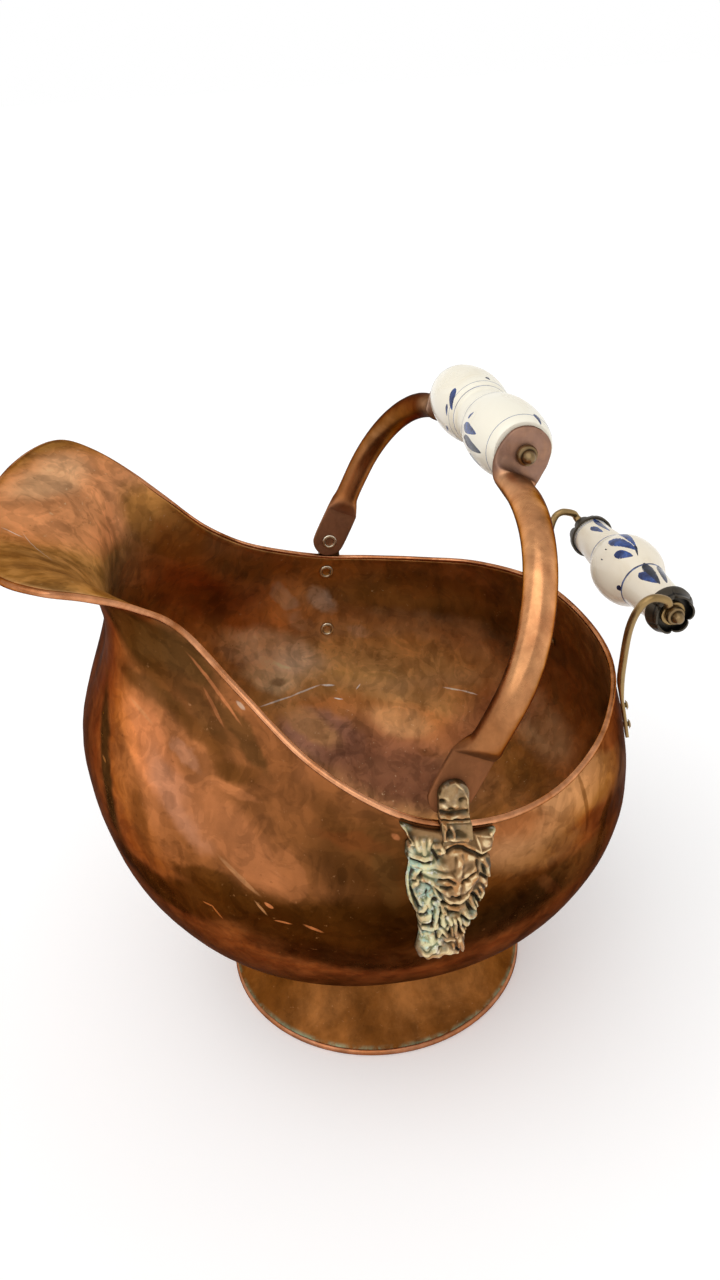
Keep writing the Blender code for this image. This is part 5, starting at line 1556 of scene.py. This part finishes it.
# Deepest hollow in millimetres, the cells over which the edges round off, and the thinnest edge
HOOK_FLOOR = -1.2
HOOK_EDGE_CELLS = 5
HOOK_EDGE_SHARE = 0.1
HOOK_PATINA = 0.1


def hook_outlines(x, arch):
    """Inner and outer outlines of the hook as (y, z); arch is the share of its rise over the pivot."""
    rim = rim_at_x(x)
    bead_top, bead_out = rim.z + RIM_BEAD_RADIUS + GAP, rim.y + RIM_BEAD_RADIUS + GAP
    wall_top = rim.z - 2 * RIM_BEAD_RADIUS
    foot_y = wall_y(x, HOOK_END_Z)[0] + 2 * GAP
    neck_y = max(wall_y(x, wall_top)[0] + 2 * GAP, bead_out)
    crown = PIVOT.z + TAB_CROWN * arch + ARM_PLATE
    outer = bead_out + HOOK_PLATE
    inner_places = [
        (foot_y, HOOK_END_Z),
        (neck_y, wall_top),
        (bead_out, rim.z),
        (bead_out, bead_top),
        (TAB_INNER, bead_top),
        (TAB_INNER, crown),
    ]
    outer_places = [
        (foot_y + MASK_PLATE + HOOK_PLATE * HOOK_LIP_SHARE, HOOK_END_Z),
        (outer + HOOK_PLATE * 0.5, wall_top),
        (outer + HOOK_PLATE * 0.2, rim.z),
        (outer, bead_top + HOOK_TOP * 0.6),
        (TAB_INNER + TAB_PLATE, bead_top + HOOK_TOP),
        (TAB_INNER + TAB_PLATE, crown),
    ]
    return inner_places, outer_places


def resample(points, steps):
    """Places at even distances along a broken line."""
    lengths = [0.0]
    for (y0, z0), (y1, z1) in zip(points, points[1:]):
        lengths.append(lengths[-1] + math.hypot(y1 - y0, z1 - z0))
    goals = np.linspace(0, lengths[-1], steps + 1)
    return list(zip(*(np.interp(goals, lengths, [point[k] for point in points]) for k in (0, 1))))


def hook_grids():
    """Inner and outer places of the hook over the rim, with its hollow values; its Y is outward."""
    inners, outers = [], []
    for i in range(HOOK_COLUMNS + 1):
        angle = math.pi * i / HOOK_COLUMNS
        offset = -TAB_WIDTH / 2 * math.cos(angle)
        x = PIVOT.x + offset
        for rows, points in zip((inners, outers), hook_outlines(x, math.sin(angle))):
            rows.append([Vector((x, *place)) for place in resample(points, HOOK_ROWS)])
    inners, outers = [list(row) for row in zip(*inners)], [list(row) for row in zip(*outers)]
    shape = (HOOK_ROWS + 1, HOOK_COLUMNS + 1)
    px, py = np.zeros(shape), np.zeros(shape)
    for j, row in enumerate(outers):
        for i, front in enumerate(row):
            px[j, i], py[j, i] = pixel_of(Vector((front.x, -front.y - MILLIMETRE, front.z)))
    height = raised(px, py, HOOK_FORMS, HOOK_RIDGES, HOOK_FURROWS)
    for j, row in enumerate(outers):
        for i in range(HOOK_COLUMNS + 1):
            edge = min(i, HOOK_COLUMNS - i, (HOOK_ROWS - j) / 2) / HOOK_EDGE_CELLS
            fall = math.sqrt(min(1.0, edge + HOOK_EDGE_SHARE))
            rise = max(height[j, i], HOOK_FLOOR) * MILLIMETRE * fall
            row[i] = row[i] + Vector((0, rise, 0))
    return inners, outers, hollow_values(height)


# Studs
STUD_SIDES = 36
STUD_STEPS = 6
STUD_LIP_SHARE = 1.1


def stud_profile(shank):
    """Outline of a hollow stud: a thin shank with a bore, and a rolled flange at its foot."""
    rows = [(STUD_BORE, shank), (STUD_BORE, STUD_FLANGE * 0.6), (STUD_BORE * 1.06, STUD_FLANGE * 0.2)]
    middle = (STUD_FLANGE_RADIUS + STUD_BORE * STUD_LIP_SHARE) / 2
    half = (STUD_FLANGE_RADIUS - STUD_BORE * STUD_LIP_SHARE) / 2
    for k in range(STUD_STEPS + 1):
        angle = math.pi * (1 + k / STUD_STEPS)
        rows.append((middle + half * math.cos(angle), STUD_FLANGE * (0.55 + 0.55 * math.sin(angle))))
    return rows + [(STUD_RADIUS, STUD_FLANGE), (STUD_RADIUS, shank)]


def make_stud(name, node, start, axis, shank, look):
    """Stud from a place inside the wall, outward along an axis."""
    turn = Vector((0, 0, 1)).rotation_difference(Vector(axis)).to_matrix().to_4x4()
    bm = turned(stud_profile(shank), STUD_SIDES, Matrix.Translation(start) @ turn)
    piece(name, bm, "body", look, (node,))


def make_masks(look, stud_look):
    """Masks with their hooks, the studs that fix them and the studs of the pivot."""
    backs, fronts, hollow, patina = mask_grid()
    inner, outer, hook_hollow = hook_grids()
    mask_kept = {"hollow": [BACK_HOLLOW] * len(hollow) + hollow, "patina": patina + patina}
    hook_kept = {"hollow": [BACK_HOLLOW] * len(hook_hollow) + hook_hollow}
    hook_kept["patina"] = [HOOK_PATINA] * (2 * len(hook_hollow))
    for suffix, side in SIDES:
        node = "lion_mask_" + suffix
        bm = closed_relief(backs, fronts, side)
        piece("lion_" + suffix, bm, "body", look, (node,), RELIEF_FOLD, kept=mask_kept)
        bm = closed_relief(inner, outer, side)
        hook = piece("lion_hook_" + suffix, bm, "body", look, (), RELIEF_FOLD, kept=hook_kept)
        for label, z in (("upper", UPPER_STUD_Z), ("lower", LOWER_STUD_Z)):
            top = mask_top(PIVOT.x)
            x = mask_middle((top - z) / (top - MASK_BOTTOM_Z))
            y, normal = wall_y(x, z)
            axis = Vector((normal.x, side * normal.y, normal.z))
            reach = SHEET + GAP * 2 + STUD_FLANGE
            name = "%s_%s" % (label, suffix)
            start = Vector((x, side * y, z)) - axis * reach
            shank = reach + GAP + STUD_GRIP
            make_stud("ring_" + name, "mask_stud_" + name, start, axis, shank, stud_look)
        start_y = ARM_PLATE_MID - ARM_PLATE / 2 - GAP - STUD_FLANGE
        shank = STUD_FLANGE + GAP + ARM_PLATE + GAP + STUD_GRIP
        place = Vector((PIVOT.x, side * start_y, PIVOT.z))
        make_stud("pivot_ring_" + suffix, "pivot_stud_" + suffix, place, (0, side, 0), shank, stud_look)


# Rear handle
MOUTH_Y = REAR_GRIP_HALF - FERRULE_LAP + FERRULE_LENGTH
EYE_MID = REAR_GRIP_HALF + GRIP_RUN + FERRULE_WALL + 2 * GAP + BRACKET_EYE_PLATE / 2
EYE_RADIUS = BRACKET_EYE_RADIUS * 1.15
# Each bracket: shares up its flat foot, shares of the way to the grip along X, up and out, then
# distances from the eye as shares of the cup's radius with shares out, and shares across the eye
FLAT_SHARES = (0.0, 0.25, 0.5, 0.75, 1.0)
BRACKET_SHARES = (
    (0.03, 0.18, 0.06),
    (0.02, 0.38, 0.20),
    (0.01, 0.56, 0.38),
    (0.01, 0.72, 0.60),
    (0.06, 0.86, 0.82),
    (0.19, 0.965, 0.96),
    (0.36, 1.00, 1.00),
    (0.54, 0.99, 1.00),
)
BRACKET_ENTRY_SHARES = ((1.08, 1.04), (0.88, 0.99), (0.68, 0.54), (0.49, 0.09))
EYE_SHARES = (-0.55, 0.0, 0.55, 0.92)
BRACKET_SIDES = 20
BRACKET_STEPS = 4
BRACKET_FOLD = 50


def bracket_stations():
    """Stations along a bracket: place, direction across, half sizes and roundness."""
    sideways = Vector((0, 1, 0))
    entry = Vector((math.cos(BRACKET_ENTRY), 0, -math.sin(BRACKET_ENTRY)))
    stations = []
    half_wide, half_plate = BRACKET_FOOT_WIDTH / 2, BRACKET_FOOT_PLATE / 2
    for share in FLAT_SHARES:
        hit, normal = wall_out(BRACKET_AZIMUTH, blend(BRACKET_FOOT_LOW_Z, BRACKET_FOOT_TOP_Z, share))
        across = Vector((0, 0, 1)).cross(normal)
        centre = hit + normal * (GAP * 2 + half_plate)
        stations.append((centre, across, half_wide, half_plate, FLAT_ROUND_SHARE))
    foot_top = stations[-1][0]
    out_y = MOUTH_Y + GRIP_RUN + BRACKET_RADIUS
    eye = Vector((REAR_MID.x, EYE_MID, REAR_MID.z))
    for along, up, out in BRACKET_SHARES:
        x = blend(FOOT_X + BRACKET_STEM_X, eye.x, along)
        y = blend(foot_top.y, out_y, out)
        z = blend(foot_top.z, REAR_MID.z + BRACKET_RISE, up)
        stations.append((Vector((x, y, z)), sideways, BRACKET_RADIUS, BRACKET_RADIUS, 2))
    for distance, out in BRACKET_ENTRY_SHARES:
        centre = eye - entry * (FERRULE_RADIUS * distance) + sideways * ((out_y - EYE_MID) * out)
        flat = ease(1 - out)
        thin = blend(BRACKET_RADIUS, BRACKET_EYE_PLATE / 2, flat)
        broad = blend(BRACKET_RADIUS, BRACKET_RADIUS * 1.3, flat)
        stations.append((centre, sideways, thin, broad, 2 + 2 * flat))
    for share in EYE_SHARES:
        half = EYE_RADIUS * math.sqrt(1 - share * share)
        centre = eye + entry * (EYE_RADIUS * share)
        stations.append((centre, sideways, BRACKET_EYE_PLATE / 2, half, FLAT_ROUND_SHARE))
    return stations


def sweep(stations, sides):
    """Rings square to the path through the stations."""
    rings = []
    last = len(stations) - 1
    for i, (centre, across, half_wide, half_thick, roundness) in enumerate(stations):
        ahead = (stations[min(i + 1, last)][0] - stations[max(i - 1, 0)][0]).normalized()
        wide = (across - ahead * across.dot(ahead)).normalized()
        thick = ahead.cross(wide)
        shape = squircle(sides, half_wide, half_thick, roundness)
        rings.append([centre + wide * a + thick * b for a, b in shape])
    return rings


# Cups: how their mouths wave in and out
CUP_SIDES = 96
CUP_WAVES = 3
CUP_WAVE_POWER = 0.5
CUP_WAVE_IN = 0.07
CUP_WAVE_DROP = 0.0026
MOUTH_RADIUS = FERRULE_RADIUS * 0.86


def ferrule_rings(place, side):
    """Scalloped cup: its mouth waves in and out and its wall is thin. Rows: radius, height, wave."""
    hole, inner = ROD_RADIUS + GAP, REAR_END_RADIUS + GAP + GRIP_RUN
    start, end, floor = -FERRULE_LAP, FERRULE_LENGTH - FERRULE_LAP, GAP + GRIP_RUN
    profile = [
        (hole, floor, 0.0),
        (inner, floor, 0.0),
        (inner, start, 0.0),
        (inner + FERRULE_WALL, start, 0.0),
        (inner + FERRULE_WALL, start + 0.3 * FERRULE_LENGTH, 0.2),
        (MOUTH_RADIUS, start + 0.7 * FERRULE_LENGTH, 0.7),
        (MOUTH_RADIUS, end, 1.0),
        (MOUTH_RADIUS - FERRULE_WALL, end, 1.0),
        (inner - FERRULE_WALL * 0.6, blend(floor, end, 0.5), 0.6),
        (inner - FERRULE_WALL, floor + FERRULE_WALL, 0.0),
        (hole, floor + FERRULE_WALL, 0.0),
    ]
    frame_y = along_y(place, side)
    rings = []
    for radius, height, wave in profile:
        ring = []
        for k in range(CUP_SIDES):
            angle = TURN * k / CUP_SIDES
            dip = 1 - abs(math.cos(CUP_WAVES * angle)) ** CUP_WAVE_POWER
            r = radius * (1 - wave * CUP_WAVE_IN * dip)
            ring.append(frame_y @ around(r, angle, height - wave * CUP_WAVE_DROP * dip))
        rings.append(ring)
    return rings


def make_rear(bracket_look, rod_look, nut_look, cup_look):
    """Brackets, cups and nuts of the rear handle; its rod and rivets keep the frame's own shapes."""
    rings = refine(sweep(bracket_stations(), BRACKET_SIDES), BRACKET_STEPS)
    for suffix, side in SIDES:
        node = "rear_bracket_" + suffix
        bm = skin(mirrored(rings, side))
        piece("bracket_" + suffix, bm, "body", bracket_look, (node,), BRACKET_FOLD)
        place = Vector((REAR_MID.x, side * REAR_GRIP_HALF, REAR_MID.z))
        node = "rear_ferrule_" + suffix
        bm = skin(ferrule_rings(place, side), wrap=True)
        piece("cup_" + suffix, bm, "body", cup_look, (node,), BRACKET_FOLD)
        start = Vector((REAR_MID.x, side * (EYE_MID + BRACKET_EYE_PLATE / 2 + GAP), REAR_MID.z))
        node = "rear_nut_" + suffix
        make_nut("rear_acorn_" + suffix, node, "body", start, side, REAR_DOME_POWER, nut_look)
        for label in ("lower", "upper"):
            dress("bracket_rivet_%s_%s" % (label, suffix), bracket_look)
    dress("rear_rod", rod_look)


def build():
    """All looks, then all pieces."""
    outside = copper_look("copper_outside", "brown", "copper", 0.34, 0.54, OUTSIDE_WEAR_AND_PAINTED_LIGHT)
    inside = copper_look("copper_inside", "bark", "brown", 0.46, 0.62, INSIDE_WEAR_AND_PAINTED_LIGHT,
                         speck=0.5, gather=GATHER_SHARE)
    rim = copper_look("copper_rim", "copper", "glow", 0.22, 0.38, cloud=30.0, vary=0.15, speck=0.3)
    # Painted light: the far arm is a darker copy of the near one as painted shade, and the near arm's
    # light tone carries a painted highlight.
    near_tube_painted_highlight = copper_look("copper_tube_near_painted_highlight", "b87a50", "f2b27a", 0.26, 0.42,
                            cloud=18.0, vary=0.2, speck=0.3, dull="9c7a68")
    far_tube_painted_shade = copper_look("copper_tube_far_painted_shade", "84552f", "b07c50", 0.28, 0.46,
                           cloud=18.0, vary=0.2, speck=0.3, dull="cfb09a")
    foot = copper_look("copper_foot", "6e4018", "925c2e", 0.34, 0.52,
                       cloud=18.0, vary=0.25, speck=0.4, green=FOOT_GREEN)
    roll = copper_look("copper_foot_roll", "copper", "pink", 0.28, 0.44, cloud=26.0, vary=0.2, speck=0.5)
    brass = mask_look("cast_brass")
    studs = metal_look("stud_metal", "8a7a64", "e0d4bc", 0.24, 0.42)
    steel = metal_look("rod_steel", "2a2624", "6a645c", 0.3, 0.5)
    cones = metal_look("cone_brass", "3e3020", "8a7250", 0.28, 0.44)
    brackets = metal_look("bracket_brass", "4a3820", "a08458", 0.28, 0.46)
    cups = metal_look("blackened_cup", "120f0b", "4a4236", 0.34, 0.55, 80.0, 0.0002, 0.6)
    bail_glaze = glaze_look("bail_glaze", "f3eddb", "e4d8bc")
    rear_glaze = glaze_look("rear_glaze", "efe4cf", "dccbab")
    paints = (
        paint_look("blue_paint", "16224f", "35559a"),
        paint_look("black_paint", "10121e", "2a3252"),
        paint_look("pale_line", "5a6684", "8c96ac"),
    )
    make_bowl(outside, inside)
    make_rim(rim)
    make_foot(foot, roll)
    make_masks(brass, studs)
    make_bail((near_tube_painted_highlight, far_tube_painted_shade), steel, cones)
    bail_grip = ("bail_grip", BAIL_GRIP_HALF, BAIL_ROWS, BAIL_TOP)
    rear_grip = ("rear_grip", REAR_GRIP_HALF, REAR_ROWS, REAR_MID)
    make_grip("bail_ceramic", *bail_grip, bail_glaze)
    make_grip("rear_ceramic", *rear_grip, rear_glaze)
    paint_grip(*bail_grip, BAIL_BLUE, BAIL_BLACK, BAIL_LINES, paints)
    paint_grip(*rear_grip, REAR_BLUE, REAR_BLACK, REAR_LINES, paints)
    make_rear(brackets, steel, cones, cups)


# Stage
FLOOR_SIZE = 30.0
FLOOR_DROP = 0.0002
FLOOR_COLOUR = (0.94, 0.94, 0.94)
FLOOR_ROUGH = 0.9
FLOOR_LIFT = 0.16
SKY_LOW = 0.12
SKY_HIGH = 0.70
SKY_TOP_STRENGTH = 0.66
KEY_STRENGTH = 1.15
KEY_ANGLE = math.radians(75)
KEY_TILT = math.radians(36)
KEY_TURN = math.radians(-50)


def make_floor():
    """White floor, a little lighter where the camera sees it than where it lights the scuttle."""
    bm = bmesh.new()
    bmesh.ops.create_grid(bm, x_segments=1, y_segments=1, size=FLOOR_SIZE)
    mesh = bpy.data.meshes.new("floor")
    bm.to_mesh(mesh)
    bm.free()
    floor = add_object("floor", mesh)
    floor.location.z = -FLOOR_DROP
    white = Look("floor_white")
    path = white.node("ShaderNodeLightPath").outputs
    straight = white.sum("MAXIMUM", path["Is Camera Ray"], path["Is Glossy Ray"])
    straight = white.sum("MAXIMUM", straight, path["Is Transmission Ray"])
    white.feed(white.shader.inputs["Emission Strength"], white.sum("MULTIPLY", straight, FLOOR_LIFT))
    white.feed(white.shader.inputs["Emission Color"], FLOOR_COLOUR)
    mesh.materials.append(white.close(FLOOR_COLOUR, FLOOR_ROUGH, Specular_IOR_Level=0.0))


def make_sky():
    """Sky that grows lighter upward."""
    world = bpy.data.worlds.new("studio")
    bpy.context.scene.world = world
    world.use_nodes = True
    nodes, links = world.node_tree.nodes, world.node_tree.links
    back = nodes["Background"]
    coord = nodes.new("ShaderNodeTexCoord")
    split = nodes.new("ShaderNodeSeparateXYZ")
    links.new(coord.outputs["Generated"], split.inputs[0])
    ramp = nodes.new("ShaderNodeMapRange")
    links.new(split.outputs[2], ramp.inputs[0])
    for index, value in enumerate((SKY_LOW, SKY_HIGH, 1.0, SKY_TOP_STRENGTH), 1):
        ramp.inputs[index].default_value = value
    links.new(ramp.outputs[0], back.inputs["Strength"])
    back.inputs["Color"].default_value = (1.0, 1.0, 1.0, 1.0)


def make_key():
    """Broad soft light from the front left."""
    light = bpy.data.lights.new("key", "SUN")
    light.energy = KEY_STRENGTH
    light.angle = KEY_ANGLE
    key = add_object("key", light)
    key.rotation_euler = (KEY_TILT, 0, KEY_TURN)


def make_camera():
    """Camera of the photo, and plain tones for the picture."""
    data = bpy.data.cameras.new("camera")
    data.sensor_width = SENSOR
    data.lens = FOCAL_PIXELS / IMAGE_HEIGHT * SENSOR
    camera = add_object("camera", data)
    turn = Matrix((CAMERA_RIGHT, CAMERA_UP, -CAMERA_AHEAD)).transposed().to_4x4()
    camera.matrix_world = Matrix.Translation(CAMERA_PLACE) @ turn
    bpy.context.scene.camera = camera
    bpy.context.scene.view_settings.view_transform = "Standard"


build()
make_floor()
make_sky()
make_key()
make_camera()
